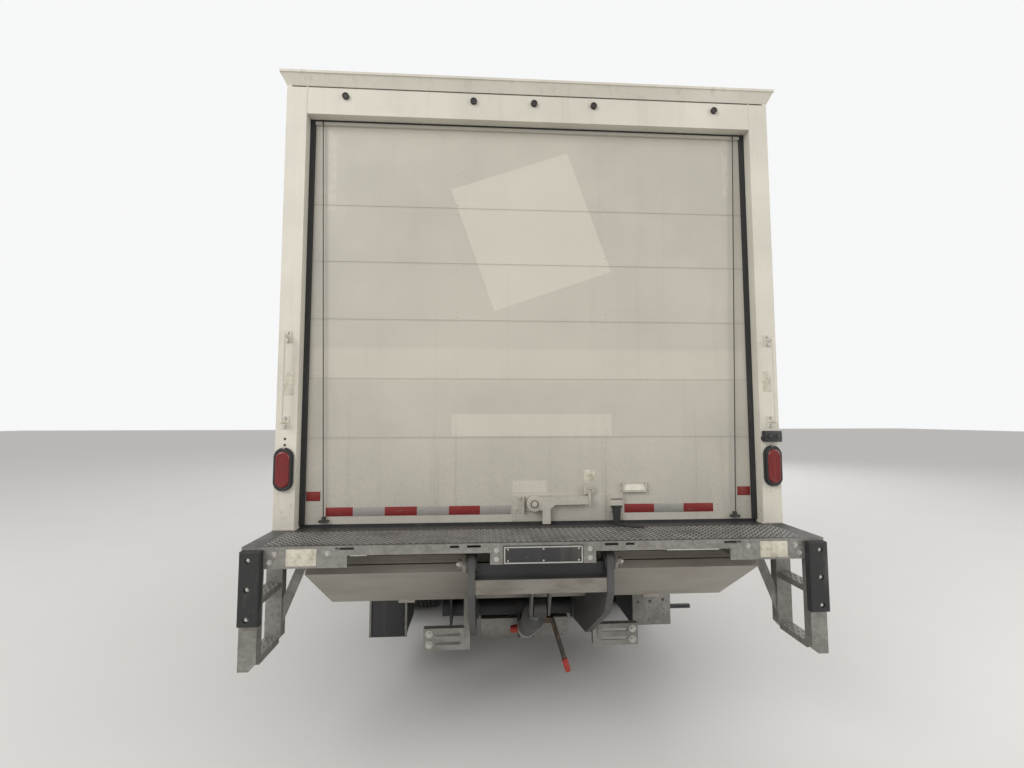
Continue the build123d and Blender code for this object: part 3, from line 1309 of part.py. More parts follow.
def dashboard():
    outline = [(CAB_NOSE - behind, z) for behind, z in DASH]
    half = CAB_HALF - DASH_SIDE_GAP
    return [side_plate(outline, -half, half, 12)]


def seats():
    pieces = []
    y = CAB_NOSE - SEAT_BEHIND
    inset, box_y0, box_y1 = SEAT_BOX
    cushion_y0, cushion_y1, low, high = SEAT_CUSHION
    outline = [(y + reach, z) for reach, z in SEAT_BACK]
    for x0, x1 in ((-SEAT_FAR, -SEAT_NEAR), (SEAT_NEAR, SEAT_FAR)):
        box = block(x0 + inset, x1 - inset, y + box_y0, y + box_y1, CAB_FLOOR_Z + CAB_FLOOR_THICK, low)
        cushion = fillet(block(x0, x1, y + cushion_y0, y + cushion_y1, low, high).edges(), 30)
        pieces.append(fuse([box, cushion, side_plate(outline, x0, x1, 20)]))
    half = TUNNEL_HALF - MIDDLE_SEAT_IN
    back, front, top = MIDDLE_SEAT
    middle = block(-half, half, CAB_NOSE + back, CAB_NOSE + front, TUNNEL_TOP + REST_GAP, top)
    pieces.append(fillet(middle.edges(), 25))
    return pieces


def steering_wheel():
    bend = (WHEEL_X, CAB_NOSE - COLUMN_FOOT[0], COLUMN_FOOT[1])
    head = (WHEEL_X, CAB_NOSE - COLUMN_HEAD[0], COLUMN_HEAD[1])
    column = rod_between(bend, head, 22)
    foot = rod_between(bend, (WHEEL_X, CAB_NOSE - PEDAL_BACK, CAB_FLOOR_Z + CAB_FLOOR_THICK), 26)
    plane = Plane((WHEEL_X, CAB_NOSE - WHEEL_BEHIND, WHEEL_Z), x_dir=(1, 0, 0), z_dir=(0, -220, 220))
    ring = plane * Torus(WHEEL_RADIUS, WHEEL_TUBE)
    spokes = [plane * Box(400, 24, 10), plane * Box(24, 400, 10), plane * Cylinder(48, 40)]
    return [fuse([column, foot, ring] + spokes)]


def mirrors():
    y = CAB_NOSE - MIRROR_BEHIND
    low, top = MIRROR_LEVELS
    x0, x1 = [CAB_HALF + reach for reach in MIRROR_OUT]
    head = fillet(block(x0, x1, y - 30, y + 50, low, top).edges(), 22)
    start, end = [CAB_HALF + reach for reach in MIRROR_ARM]
    arms = [rod_between((start, y, z), (end, y, z), 11) for z in (low + 60, top - 60)]
    return both_sides(fuse([head] + arms))


def build():
    os.makedirs("parts", exist_ok=True)
    outer = cab_solid(0)
    inner = cab_solid(CAB_WALL)
    glass_outer = cab_solid(GLASS_DEPTH)
    glass_inner = cab_solid(GLASS_DEPTH + GLASS_THICK)
    shell, ears = cab_shell(outer, inner)
    floor = cab_floor(inner, ears)
    wheel_column = [piece - floor[0] for piece in steering_wheel()]
    dash = [(piece & inner) - wheel_column[0] for piece in dashboard()]
    mirror_set = [piece - outer for piece in mirrors()]

    save("ladder_frame", ladder_frame())
    save("cab_mounts", cab_mounts())
    save("front_axle", front_axle())
    save("leaf_springs", leaf_springs())
    save("rear_axle", rear_axle())
    save("drive_shaft", drive_shaft())
    save("engine_block", engine_block())
    save("fuel_tank", fuel_tank())
    save("battery_box", battery_box())
    save("exhaust", exhaust())
    save("mudflaps", mudflaps())
    save("front_bumper", front_bumper())

    save("van_floor", van_floor())
    save("floor_sills", floor_sills())
    save("van_walls", both_sides(van_wall()))
    save("van_front_wall", front_wall())
    save("van_roof", roof())
    save("rear_frame", rear_frame())
    save("roll_up_door", roll_up_door())
    save("door_seals", door_seals())
    save("door_cables", door_cables())
    save("door_fittings", door_fittings())
    save("tail_lamps", tail_lamps())
    save("lamp_bezels", lamp_bezels())
    save("grab_handles", grab_handles())

    save("rear_deck", rear_deck())
    save("side_steps", both_sides(side_step()))
    save("rubber_bumpers", rubber_bumpers())

    save("lift_mount", lift_mount())
    save("lift_arms", lift_arms())
    save("lift_cradles", lift_cradles())
    save("platform_pack", platform_pack())
    save("lift_barrel", lift_barrel())
    save("lift_rod", lift_rod())
    save("lift_boxes", lift_boxes())

    save("cab_shell", shell)
    save("cab_floor", floor)
    save("cab_glass", cab_glass(glass_outer, glass_inner))
    save("grille", grille(outer, inner))
    save("headlamps", headlamps(outer, inner))
    save("dashboard", dash)
    save("seats", seats())
    save("steering_wheel", wheel_column)
    save("mirrors", mirror_set)

    for name, side in (("left", -1), ("right", 1)):
        save("cab_door_" + name, cab_door(outer, inner, side))
        save("door_glass_" + name, door_glass(glass_outer, glass_inner, side))
        save("knuckle_" + name, knuckle(side))
        save("wheel_front_" + name, front_wheel(side))
        save("tyre_front_" + name, [tyre(side * FRONT_TRACK_HALF, FRONT_AXLE_Y)])
        save("wheels_rear_" + name, rear_wheels(side))
        save("tyres_rear_" + name, [tyre(side * (DUAL_MID - DUAL_SPACING / 2), REAR_AXLE_Y),
                                    tyre(side * (DUAL_MID + DUAL_SPACING / 2), REAR_AXLE_Y)])


build()
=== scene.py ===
"""Looks of a box truck with a folded tail lift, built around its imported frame.

Each operator dresses one group of pieces. Everything is in metres: +X is the truck's right,
+Y is forward and the ground is Z = 0.
"""

import json
import math

import bmesh
import bpy
from mathutils import Matrix, Vector


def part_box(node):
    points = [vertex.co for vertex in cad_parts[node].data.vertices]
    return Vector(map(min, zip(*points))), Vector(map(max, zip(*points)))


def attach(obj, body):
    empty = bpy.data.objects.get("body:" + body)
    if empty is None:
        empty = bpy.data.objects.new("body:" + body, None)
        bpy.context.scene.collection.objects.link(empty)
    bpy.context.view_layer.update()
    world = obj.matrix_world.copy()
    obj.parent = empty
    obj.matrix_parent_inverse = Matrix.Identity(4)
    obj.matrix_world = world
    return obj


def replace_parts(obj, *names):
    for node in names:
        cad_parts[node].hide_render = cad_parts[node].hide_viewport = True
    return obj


bl_info = {
    "name": "Box truck looks",
    "version": (1, 0, 0),
    "blender": (4, 5, 0),
    "location": "View3D > Sidebar > Truck",
    "description": "Finishes, fasteners, treads and trim of a box truck with a tail lift",
    "category": "Object",
}

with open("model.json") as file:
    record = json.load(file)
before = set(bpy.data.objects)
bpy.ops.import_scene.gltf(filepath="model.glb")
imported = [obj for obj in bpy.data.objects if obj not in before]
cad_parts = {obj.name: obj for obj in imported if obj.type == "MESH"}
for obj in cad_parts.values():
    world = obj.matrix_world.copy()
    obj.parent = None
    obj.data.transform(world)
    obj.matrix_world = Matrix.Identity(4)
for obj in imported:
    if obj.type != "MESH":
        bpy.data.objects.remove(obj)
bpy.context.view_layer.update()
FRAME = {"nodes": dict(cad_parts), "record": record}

BOTH = (-1, 1)
SIDES = (("left", -1), ("right", 1))
OUT = {side: Vector((side, 0, 0)) for side in BOTH}
BEHIND = Vector((0, -1, 0))
AHEAD = Vector((0, 1, 0))
UP = Vector((0, 0, 1))

# Places read from the frame
DECK_LOW, DECK_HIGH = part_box("rear_deck")
DOOR_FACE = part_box("roll_up_door")[0].y
WALL_LOW, WALL_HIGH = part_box("van_walls")
FRONT_LOW, FRONT_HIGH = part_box("van_front_wall")
LOAD_FLOOR = DECK_HIGH.z
POST_FACE = DECK_HIGH.y
BODY_HALF = DECK_HIGH.x
CAB_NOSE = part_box("cab_shell")[1].y

# Measures of the solids that their boxes don't give
DOOR_JOINTS = (0.4215, 0.7085, 1.0015, 1.2895, 1.5755)
SILL_HALF = 1.118
LAMP_X = 1.175
LAMP_RISE = 0.280
RIM_HALF = 0.266
AXLE_HEIGHT = 0.405


class TruckSizes(bpy.types.PropertyGroup):
    """Sizes of the pieces that dress the frame."""

    rivet_radius: bpy.props.FloatProperty(
        name="Rivet radius", description="Radius of the body rivets", default=0.0055, unit="LENGTH")
    rivet_pitch: bpy.props.FloatProperty(
        name="Rivet pitch", description="Spacing of the body rivets", default=0.09, unit="LENGTH")
    seam_pitch: bpy.props.FloatProperty(
        name="Seam pitch", description="Spacing of the upright wall seams", default=0.61, unit="LENGTH")
    tread_pitch: bpy.props.FloatProperty(
        name="Tread pitch", description="Spacing of the deck's raised marks", default=0.027, unit="LENGTH")
    tape_height: bpy.props.FloatProperty(
        name="Tape height", description="Height of the marking tape", default=0.042, unit="LENGTH")
    groove_depth: bpy.props.FloatProperty(
        name="Tyre groove", description="Depth of the tyre's grooves", default=0.012, unit="LENGTH")
    nut_circle: bpy.props.FloatProperty(
        name="Nut circle", description="Radius of the wheel nuts' circle", default=0.126, unit="LENGTH")


class TruckColours(bpy.types.PropertyGroup):
    """Colours of the main finishes."""

    frame_paint: bpy.props.FloatVectorProperty(
        name="Frame paint", description="Rear frame and cap", subtype="COLOR", default=(0.60, 0.57, 0.49))
    door_paint: bpy.props.FloatVectorProperty(
        name="Door paint", description="Roll-up door", subtype="COLOR", default=(0.47, 0.44, 0.38))
    van_skin: bpy.props.FloatVectorProperty(
        name="Van skin", description="Walls and roof", subtype="COLOR", default=(0.72, 0.71, 0.67))
    cab_paint: bpy.props.FloatVectorProperty(
        name="Cab paint", description="Cab shell and doors", subtype="COLOR", default=(0.70, 0.69, 0.65))
    # Near black: the arms' grease and painted shade
    lift_paint: bpy.props.FloatVectorProperty(
        name="Lift paint", description="Lift arms", subtype="COLOR", default=(0.070, 0.069, 0.066))
    tape_red: bpy.props.FloatVectorProperty(
        name="Tape red", description="Red stretches of tape", subtype="COLOR", default=(0.23, 0.020, 0.019))


def sizes():
    return bpy.context.scene.truck_sizes


def colour_of(name):
    return tuple(getattr(bpy.context.scene.truck_colours, name))


class Value:
    """A number that varies over a surface. Arithmetic on it adds Math nodes."""

    def __init__(self, finish, socket):
        self.finish = finish
        self.socket = socket

    def _math(self, operation, *terms):
        return self.finish.add("ShaderNodeMath", {"operation": operation}, dict(enumerate(terms)))

    def __add__(self, other):
        return self._math("ADD", self, other)

    def __radd__(self, other):
        return self._math("ADD", other, self)

    def __sub__(self, other):
        return self._math("SUBTRACT", self, other)

    def __rsub__(self, other):
        return self._math("SUBTRACT", other, self)

    def __mul__(self, other):
        return self._math("MULTIPLY", self, other)

    def __rmul__(self, other):
        return self._math("MULTIPLY", other, self)

    def __truediv__(self, other):
        return self._math("DIVIDE", self, other)

    def __mod__(self, other):
        return self._math("FLOORED_MODULO", self, other)

    def __lt__(self, other):
        return self._math("LESS_THAN", self, other)

    def __floor__(self):
        return self._math("FLOOR", self)

    def sine(self):
        return self._math("SINE", self)

    def rise(self, low, high):
        """0 below low, 1 above high, and a smooth step between them."""
        return self.finish.add("ShaderNodeMapRange", {"interpolation_type": "SMOOTHSTEP"},
                               {"Value": self, "From Min": low, "From Max": high})

    def window(self, low, high, soft):
        """1 between low and high with soft edges, 0 outside."""
        return self.rise(low - soft, low + soft) * (1 - self.rise(high - soft, high + soft))


class Finish:
    """One material: its shader, and the node chains that the finishes here are made of."""

    def __init__(self, name, **fixed):
        self.material = bpy.data.materials.new(name)
        self.material.use_nodes = True
        self.tree = self.material.node_tree
        self.shader = self.tree.nodes["Principled BSDF"]
        for label, number in fixed.items():
            self.feed(self.shader.inputs[label.replace("_", " ").title().replace("Ior", "IOR")], number)
        self.place = self.add("ShaderNodeTexCoord", out="Object")
        self.x, self.y, self.z = [
            self.add("ShaderNodeSeparateXYZ", inputs={"Vector": self.place}, out=axis) for axis in "XYZ"]

    def add(self, kind, settings=None, inputs=None, out=0):
        """New node with its settings and inputs, as the value of one of its outputs."""
        node = self.tree.nodes.new(kind)
        for label, setting in (settings or {}).items():
            setattr(node, label, setting)
        for label, given in (inputs or {}).items():
            self.feed(node.inputs[label], given)
        return Value(self, node.outputs[out])

    def feed(self, socket, given):
        if isinstance(given, Value):
            self.tree.links.new(given.socket, socket)
        elif socket.type == "RGBA":
            socket.default_value = (*given[:3], 1)
        else:
            socket.default_value = given

    def noise(self, scale, detail=3.0, roughness=0.55, stretch=(1, 1, 1)):
        place = self.place
        if stretch != (1, 1, 1):
            place = self.add("ShaderNodeMapping", inputs={"Vector": place, "Scale": stretch})
        return self.add("ShaderNodeTexNoise", inputs={
            "Vector": place, "Scale": scale, "Detail": detail, "Roughness": roughness})

    def cells(self, scale, feature="F1", out=0):
        return self.add("ShaderNodeTexVoronoi", {"feature": feature},
                        {"Vector": self.place, "Scale": scale}, out)

    def mix(self, mask, under, over):
        """Colour that goes from under to over as the mask goes from 0 to 1."""
        return self.add("ShaderNodeMix", {"data_type": "RGBA"}, {0: mask, 6: under, 7: over}, out=2)

    def patch(self, left, right, low, high, soft_x, soft_z):
        """1 inside a rectangle across X and up from the load floor."""
        return self.x.window(left, right, soft_x) * (self.z - LOAD_FLOOR).window(low, high, soft_z)

    def colour(self, value):
        self.feed(self.shader.inputs["Base Color"], value)

    def rough(self, value):
        self.feed(self.shader.inputs["Roughness"], value)

    def surface(self, colour, rough, height=None, strength=0.3, distance=0.002):
        """Feeds the shader its colour, roughness and relief."""
        self.colour(colour)
        self.rough(rough)
        if height is not None:
            self.feed(self.shader.inputs["Normal"], self.add(
                "ShaderNodeBump", inputs={"Height": height, "Strength": strength, "Distance": distance}))
        return self


def shade(colour, factor):
    return tuple(channel * factor for channel in colour)


DIRT = (0.16, 0.13, 0.095)
RUST = (0.19, 0.075, 0.03)
SILL_DARK = (0.035, 0.033, 0.031)
BLACK_PAINT = (0.022, 0.022, 0.024)


def old_paint(name, paint, dirt_share=0.35, chip_level=0.735, rough=0.42, coat=0.0, dark=0.88, splash=0.0):
    """Weathered paint: mottled colour, rain streaks, grime, road splash, rusty chips and fine relief."""
    finish = Finish(name, coat_weight=coat, coat_roughness=0.2)
    mottle = finish.noise(2.3, 5)
    fine = finish.noise(38, 4)
    streak = finish.noise(3.2, 5, 0.6, (7.0, 7.0, 0.35))
    base = finish.mix(mottle.rise(0.35, 0.7), shade(paint, 1.05), shade(paint, dark))
    grime = (streak.rise(0.52, 0.82) * 0.6 + mottle.rise(0.5, 0.8) * fine.rise(0.4, 0.75) * 0.7) * dirt_share
    if splash:
        grime = grime + (1 - finish.z.rise(0.6, 1.8)) * streak.rise(0.3, 0.75) * splash
    speck = finish.noise(95, 3, 0.6).rise(chip_level - 0.02, chip_level + 0.015)
    chips = speck * finish.noise(5.5, 4, 0.65).rise(0.5, 0.6)
    finish.painted = finish.mix(chips, finish.mix(grime, base, DIRT), RUST)
    height = fine * 0.25 + chips * -1.0 + finish.noise(420, 2) * 0.15
    return finish.surface(finish.painted, rough + grime * 0.5 + fine * 0.12 + chips * 0.3,
                          height, 0.22, 0.0012)


def van_skin():
    return old_paint("van_skin", colour_of("van_skin"), 0.08, 0.76, 0.5, dark=1.0, splash=0.32)


def cab_paint():
    return old_paint("cab_paint", colour_of("cab_paint"), 0.06, 0.76, 0.3, 0.5, dark=1.0, splash=0.17)


def chassis_black():
    return old_paint("chassis_black", (0.028, 0.028, 0.030), 0.75, 0.66, 0.55)


def wheel_paint():
    return old_paint("wheel_paint", (0.60, 0.60, 0.58), 0.6, 0.68, 0.4)


def bare_plate():
    return old_paint("bare_plate", BLACK_PAINT, 0.5, 0.66, 0.4)


def lift_black():
    """Lift paint: the arms near black from grease and painted shade, the cross tube pale, the plate over it
    black.
    """
    # The arms' near-black colour is grease and painted shade over their grey paint
    finish = old_paint("lift_black", colour_of("lift_paint"), 0.35, 0.74, 0.45)
    rear = 1 - finish.y.rise(POST_FACE - 0.130, POST_FACE - 0.128)
    tube = rear * finish.patch(-0.2835, 0.2835, -0.240, -0.1722, 0.0008, 0.0006)
    plate = rear * finish.patch(-0.2835, 0.2835, -0.1718, -0.100, 0.0008, 0.0006)
    scuff = finish.noise(24, 5, 0.65, (0.3, 1, 1))
    pale = finish.mix(scuff.rise(0.35, 0.75), (0.215, 0.200, 0.172), (0.130, 0.116, 0.094))
    finish.colour(finish.mix(plate * 0.85, finish.mix(tube, finish.painted, pale), BLACK_PAINT))
    return finish


def frame_paint():
    """Rear frame: cream paint with rust bleeding along the foot of the posts and under the cap."""
    paint = colour_of("frame_paint")
    finish = Finish("frame_paint")
    mottle = finish.noise(1.9, 5)
    fine = finish.noise(44, 4)
    streak = finish.noise(2.6, 5, 0.65, (9.0, 9.0, 0.3))
    edge = finish.noise(17, 5, 0.7)
    base = finish.mix(mottle.rise(0.3, 0.72), shade(paint, 1.08), shade(paint, 0.9))
    foot = 1 - finish.z.rise(LOAD_FLOOR + 0.02, LOAD_FLOOR + 0.55)
    cap = finish.z.rise(3.19, 3.24)
    grime = streak.rise(0.5, 0.8) * (0.16 + 0.35 * foot + 0.2 * cap) + fine.rise(0.55, 0.8) * foot * 0.4
    rust = edge.rise(0.6, 0.7) * (foot * 0.8 + cap * 0.35) * finish.noise(4, 3).rise(0.48, 0.62)
    painted = finish.mix(rust * 0.5, finish.mix(grime, base, DIRT), RUST)
    # The sill under the door is drawn near black
    sill = finish.x.window(-SILL_HALF, SILL_HALF, 0.002)
    sill = sill * (1 - finish.z.rise(LOAD_FLOOR + 0.001, LOAD_FLOOR + 0.004))
    height = fine * 0.3 + rust * edge + finish.noise(380, 2) * 0.15
    return finish.surface(finish.mix(sill, painted, SILL_DARK), 0.45 + grime * 0.4 + rust * 0.3,
                          height, 0.25, 0.0014)


def door_paint():
    """Roll-up door: dull paint with paler places where stickers and tape once were."""
    paint = colour_of("door_paint")
    finish = Finish("door_paint")
    mottle = finish.noise(1.4, 6, 0.6)
    fine = finish.noise(60, 4)
    streak = finish.noise(2.2, 5, 0.6, (12.0, 12.0, 0.28))
    worn_off = finish.noise(26, 4, 0.7).rise(0.35, 0.62)
    base = finish.mix(mottle.rise(0.3, 0.75), shade(paint, 1.05), shade(paint, 0.9))
    level = finish.z - LOAD_FLOOR
    low = 1 - level.rise(0.05, 0.75)
    band = finish.patch(-1.08, 1.08, 0.70, 0.86, 0.01, 0.012)
    strip = finish.patch(-0.405, 0.39, 0.428, 0.536, 0.003, 0.003)
    label = finish.patch(-0.107, 0.059, 0.153, 0.211, 0.002, 0.002)
    tapes = finish.patch(-1.03, -0.99, 1.55, 1.97, 0.004, 0.01)
    tapes = tapes + finish.patch(1.00, 1.04, 1.68, 1.99, 0.004, 0.01)
    turn = math.radians(-19.5)
    across, up = finish.x + 0.010, level - 1.468
    square = (across * math.cos(turn) - up * math.sin(turn)).window(-0.316, 0.316, 0.003)
    square = square * (across * math.sin(turn) + up * math.cos(turn)).window(-0.330, 0.330, 0.003)
    pale = square * (0.75 + 0.25 * fine) + (strip + label) * 0.8 + band * 0.5 + tapes * worn_off * 0.5
    lighter = finish.mix(pale * 0.55, base, shade(paint, 1.34))
    grime = streak.rise(0.52, 0.85) * (0.10 + 0.30 * low) + fine.rise(0.52, 0.8) * low * 0.32
    shadow = sum(level.window(joint - 0.006, joint + 0.004, 0.005) for joint in DOOR_JOINTS)
    height = fine * 0.22 + finish.noise(9, 3, 0.5, (1, 1, 0.5)) * 0.6 + streak * 0.1
    return finish.surface(finish.mix(grime + shadow * 0.15, lighter, DIRT), 0.48 + grime * 0.4 - pale * 0.08,
                          height, 0.16, 0.002)


def galvanised():
    """Zinc coat with its crystal pattern and grey dirt, darker where the deck is walked on."""
    finish = Finish("galvanised", metallic=0.6)
    tone = finish.add("ShaderNodeSeparateColor", inputs={"Color": finish.cells(75.0, out="Color")})
    cloud = finish.noise(6, 5, 0.6)
    fine = finish.noise(70, 4, 0.65)
    scratch = finish.noise(30, 4, 0.7, (0.15, 1, 1))
    base = finish.mix(tone, (0.215, 0.208, 0.190), (0.290, 0.280, 0.258))
    dull = cloud.rise(0.42, 0.75)
    dirty = finish.mix(dull * 0.35 + scratch.rise(0.55, 0.8) * 0.25, base, (0.110, 0.094, 0.074))
    rusted = finish.mix(fine.rise(0.64, 0.74) * cloud.rise(0.52, 0.64) * 0.5, dirty, RUST)
    trodden = finish.z.rise(LOAD_FLOOR - 0.0012, LOAD_FLOOR - 0.0004)
    shown = finish.mix(trodden * (0.72 + 0.2 * cloud), rusted, (0.052, 0.050, 0.047))
    return finish.surface(shown, 0.42 + tone * 0.12 + dull * 0.25, fine * 0.5 + tone * 0.1, 0.2, 0.001)


def platform_steel():
    """Platform leaves drawn in long planks, dusty and rubbed along their length."""
    finish = Finish("platform_steel", metallic=0.45)
    brush = finish.noise(60, 3, 0.6, (0.10, 1.6, 1.6))
    cloud = finish.noise(5, 5, 0.65, (0.5, 1, 1))
    spots = finish.noise(36, 4, 0.7)
    planks = 1 - (finish.z % 0.0445).rise(0.0008, 0.0024)
    base = finish.mix(brush, (0.33, 0.305, 0.262), (0.44, 0.41, 0.36))
    dusty = finish.mix(cloud.rise(0.4, 0.75) * 0.45, base, (0.23, 0.19, 0.145))
    shown = finish.mix(planks * 0.4 + spots.rise(0.66, 0.76) * 0.3, dusty, (0.10, 0.08, 0.06))
    return finish.surface(shown, 0.42 + brush * 0.15, brush * 0.4 + planks * -1.0, 0.18, 0.001)


def rod_chrome():
    """Bright rod with a greasy black eye at its rear end."""
    finish = Finish("rod_chrome")
    haze = finish.noise(45, 3, 0.6)
    shaft = finish.y.rise(POST_FACE - 0.086, POST_FACE - 0.080)
    chrome = finish.mix(haze.rise(0.5, 0.8), (0.72, 0.73, 0.74), (0.48, 0.46, 0.43))
    finish.feed(finish.shader.inputs["Metallic"], 0.3 + shaft * 0.7)
    return finish.surface(finish.mix(shaft, (0.045, 0.042, 0.038), chrome), 0.5 - shaft * 0.38 + haze * 0.2,
                          finish.noise(300, 2), 0.03, 0.0004)


def tank_aluminium():
    finish = Finish("tank_aluminium", metallic=0.9)
    brush = finish.noise(50, 3, 0.6, (1.5, 0.1, 1.5))
    dull = finish.noise(5, 4, 0.6).rise(0.45, 0.8)
    base = finish.mix(brush, (0.50, 0.51, 0.52), (0.66, 0.67, 0.68))
    shown = finish.mix(dull * 0.5, base, (0.22, 0.19, 0.15))
    return finish.surface(shown, 0.3 + brush * 0.12 + dull * 0.3, brush, 0.08, 0.0006)


def fitting_steel():
    """Worn zinc of latches, handles, nuts and bolts."""
    finish = Finish("fitting_steel", metallic=0.8)
    cloud = finish.noise(30, 4, 0.65)
    grain = finish.noise(160, 3, 0.6)
    rust = cloud.rise(0.58, 0.68) * grain.rise(0.4, 0.6)
    base = finish.mix(cloud, (0.40, 0.39, 0.36), (0.56, 0.55, 0.52))
    return finish.surface(finish.mix(rust * 0.75, base, RUST), 0.4 + cloud * 0.15 + rust * 0.3,
                          grain, 0.15, 0.0006)


def cable_steel():
    """Oiled wire rope, its strands laid round it."""
    finish = Finish("cable_steel", metallic=0.6)
    oil = finish.noise(30, 3)
    lay = ((finish.z + finish.x) * 1500.0).sine()
    return finish.surface(finish.mix(oil, (0.040, 0.038, 0.035), (0.090, 0.085, 0.076)), 0.45 + oil * 0.2,
                          lay, 0.3, 0.0005)


def floor_wood():
    """Laminated hardwood boards along the body."""
    finish = Finish("floor_wood")
    board = math.floor(finish.x / 0.038)
    tone = finish.add("ShaderNodeTexWhiteNoise", {"noise_dimensions": "1D"}, {"W": board}, out="Value")
    grain = finish.noise(30, 5, 0.6, (3.0, 0.12, 3.0))
    base = finish.mix(tone, (0.26, 0.165, 0.085), (0.38, 0.26, 0.14))
    worn = finish.mix(grain.rise(0.4, 0.75) * 0.6, base, (0.13, 0.085, 0.05))
    return finish.surface(worn, 0.55 + grain * 0.2,
                          grain + (finish.x % 0.038 < 0.0012) * -1.0, 0.25, 0.0012)


def door_seal():
    """Door seal: the top one is painted over, with only its upper edge left dark."""
    finish = Finish("door_seal")
    scuff = finish.noise(13, 5, 0.7, (1, 1, 0.4))
    over = finish.patch(-1.0945, 1.0945, 1.980, 2.0005, 0.0005, 0.0008)
    black = finish.mix(scuff.rise(0.5, 0.75) * 0.7, (0.018, 0.018, 0.018), (0.075, 0.070, 0.062))
    return finish.surface(finish.mix(over, black, shade(colour_of("door_paint"), 0.9)), 0.62 + scuff * 0.2,
                          finish.noise(220, 3, 0.6) + scuff * 0.5, 0.25, 0.001)


def lens(name, colour, depth=0.5):
    """Moulded lens with its fine optic ribs under a glossy face."""
    finish = Finish(name, coat_weight=0.3, coat_roughness=0.12)
    pattern = (finish.x * 900.0).sine() * (finish.z * 900.0).sine() * 0.5 + 0.5
    dust = finish.noise(40, 4, 0.6).rise(0.55, 0.85) * 0.15
    finish.painted = finish.mix(dust, finish.mix(pattern, shade(colour, depth), colour), DIRT)
    return finish.surface(finish.painted, 0.22, pattern, 0.25, 0.001)


def lens_red():
    """Tail lamp lenses, with the high markers drawn nearly black: grime and painted shade over their red."""
    finish = lens("lens_red", (0.22, 0.008, 0.008))
    # High marker lenses: red drawn nearly black, partly grime and partly painted shade
    high = finish.z.rise(LOAD_FLOOR + 1.5, LOAD_FLOOR + 1.6)
    finish.colour(finish.mix(high, finish.painted, (0.010, 0.003, 0.003)))
    finish.rough(0.22 + high * 0.3)
    return finish


def lens_amber():
    return lens("lens_amber", (0.80, 0.26, 0.02))


def lens_clear():
    return lens("lens_clear", (0.36, 0.38, 0.40), 0.45)


def seat_cloth():
    """Woven seat cloth: crossing threads, a ribbed stripe and a little wear."""
    finish = Finish("seat_cloth", sheen_weight=0.3)
    threads = (finish.x * 2600.0).sine() * ((finish.y + finish.z) * 2600.0).sine()
    wear = finish.noise(12, 4, 0.6)
    stripe = (finish.x % 0.028) / 0.028
    base = finish.mix(stripe.rise(0.4, 0.5) * 0.5, (0.055, 0.060, 0.078), (0.095, 0.10, 0.12))
    worn = finish.mix(wear.rise(0.5, 0.8) * 0.4, base, (0.15, 0.145, 0.14))
    return finish.surface(worn, 0.85 + threads * 0.05,
                          threads * 0.5 + wear * 0.3, 0.4, 0.0008)


def glass():
    finish = Finish("glass", transmission_weight=1.0, ior=1.45)
    film = finish.noise(4, 5, 0.65).rise(0.5, 0.85)
    return finish.surface(finish.mix(film, (0.80, 0.88, 0.86), (0.62, 0.66, 0.62)), 0.02 + film * 0.12)


def mirror_glass():
    finish = Finish("mirror_glass", metallic=1.0)
    film = finish.noise(18, 4, 0.6).rise(0.5, 0.85)
    return finish.surface(finish.mix(film * 0.5, (0.80, 0.82, 0.83), (0.60, 0.60, 0.58)), 0.03 + film * 0.15)


def tape(name, colour):
    """Reflective tape: small sealed cells in a colour, scratched and dusty."""
    finish = Finish(name, metallic=0.25)
    cell = finish.cells(260, "DISTANCE_TO_EDGE")
    scratch = finish.noise(40, 4, 0.7, (0.3, 1, 1.6))
    base = finish.mix(cell.rise(0.02, 0.10), shade(colour, 0.65), colour)
    return finish.surface(finish.mix(scratch.rise(0.55, 0.72) * 0.5, base, DIRT), 0.32 + scratch * 0.3,
                          cell, 0.15, 0.0004)


def tape_red():
    return tape("tape_red", colour_of("tape_red"))


def tape_silver():
    return tape("tape_silver", (0.34, 0.325, 0.30))


def plain(name, cloud, tones, rough, relief, edge=None, grain=None, specks=None, metallic=0.0):
    """Two tones mixed by a cloud, with a finer grain and specks of a third tone where asked.

    cloud, grain: a noise's scale, detail, roughness and stretch; a grain of one number is cells
    edge: start, end and share of the cloud's step
    specks: start, end, share and colour of the grain's step
    rough: the roughness, and what cloud and grain add to it
    relief: shares of cloud and grain, strength and distance
    """
    finish = Finish(name, metallic=metallic)
    cloud = finish.noise(*cloud)
    if grain is None:
        grain = cloud
    elif isinstance(grain, tuple):
        grain = finish.noise(*grain)
    else:
        grain = finish.cells(grain)
    shown = finish.mix(cloud.rise(*edge[:2]) * edge[2] if edge else cloud, *tones)
    if specks:
        shown = finish.mix(grain.rise(*specks[:2]) * specks[2], shown, specks[3])
    return finish.surface(shown, rough[0] + cloud * rough[1] + grain * rough[2],
                          cloud * relief[0] + grain * relief[1], *relief[2:])


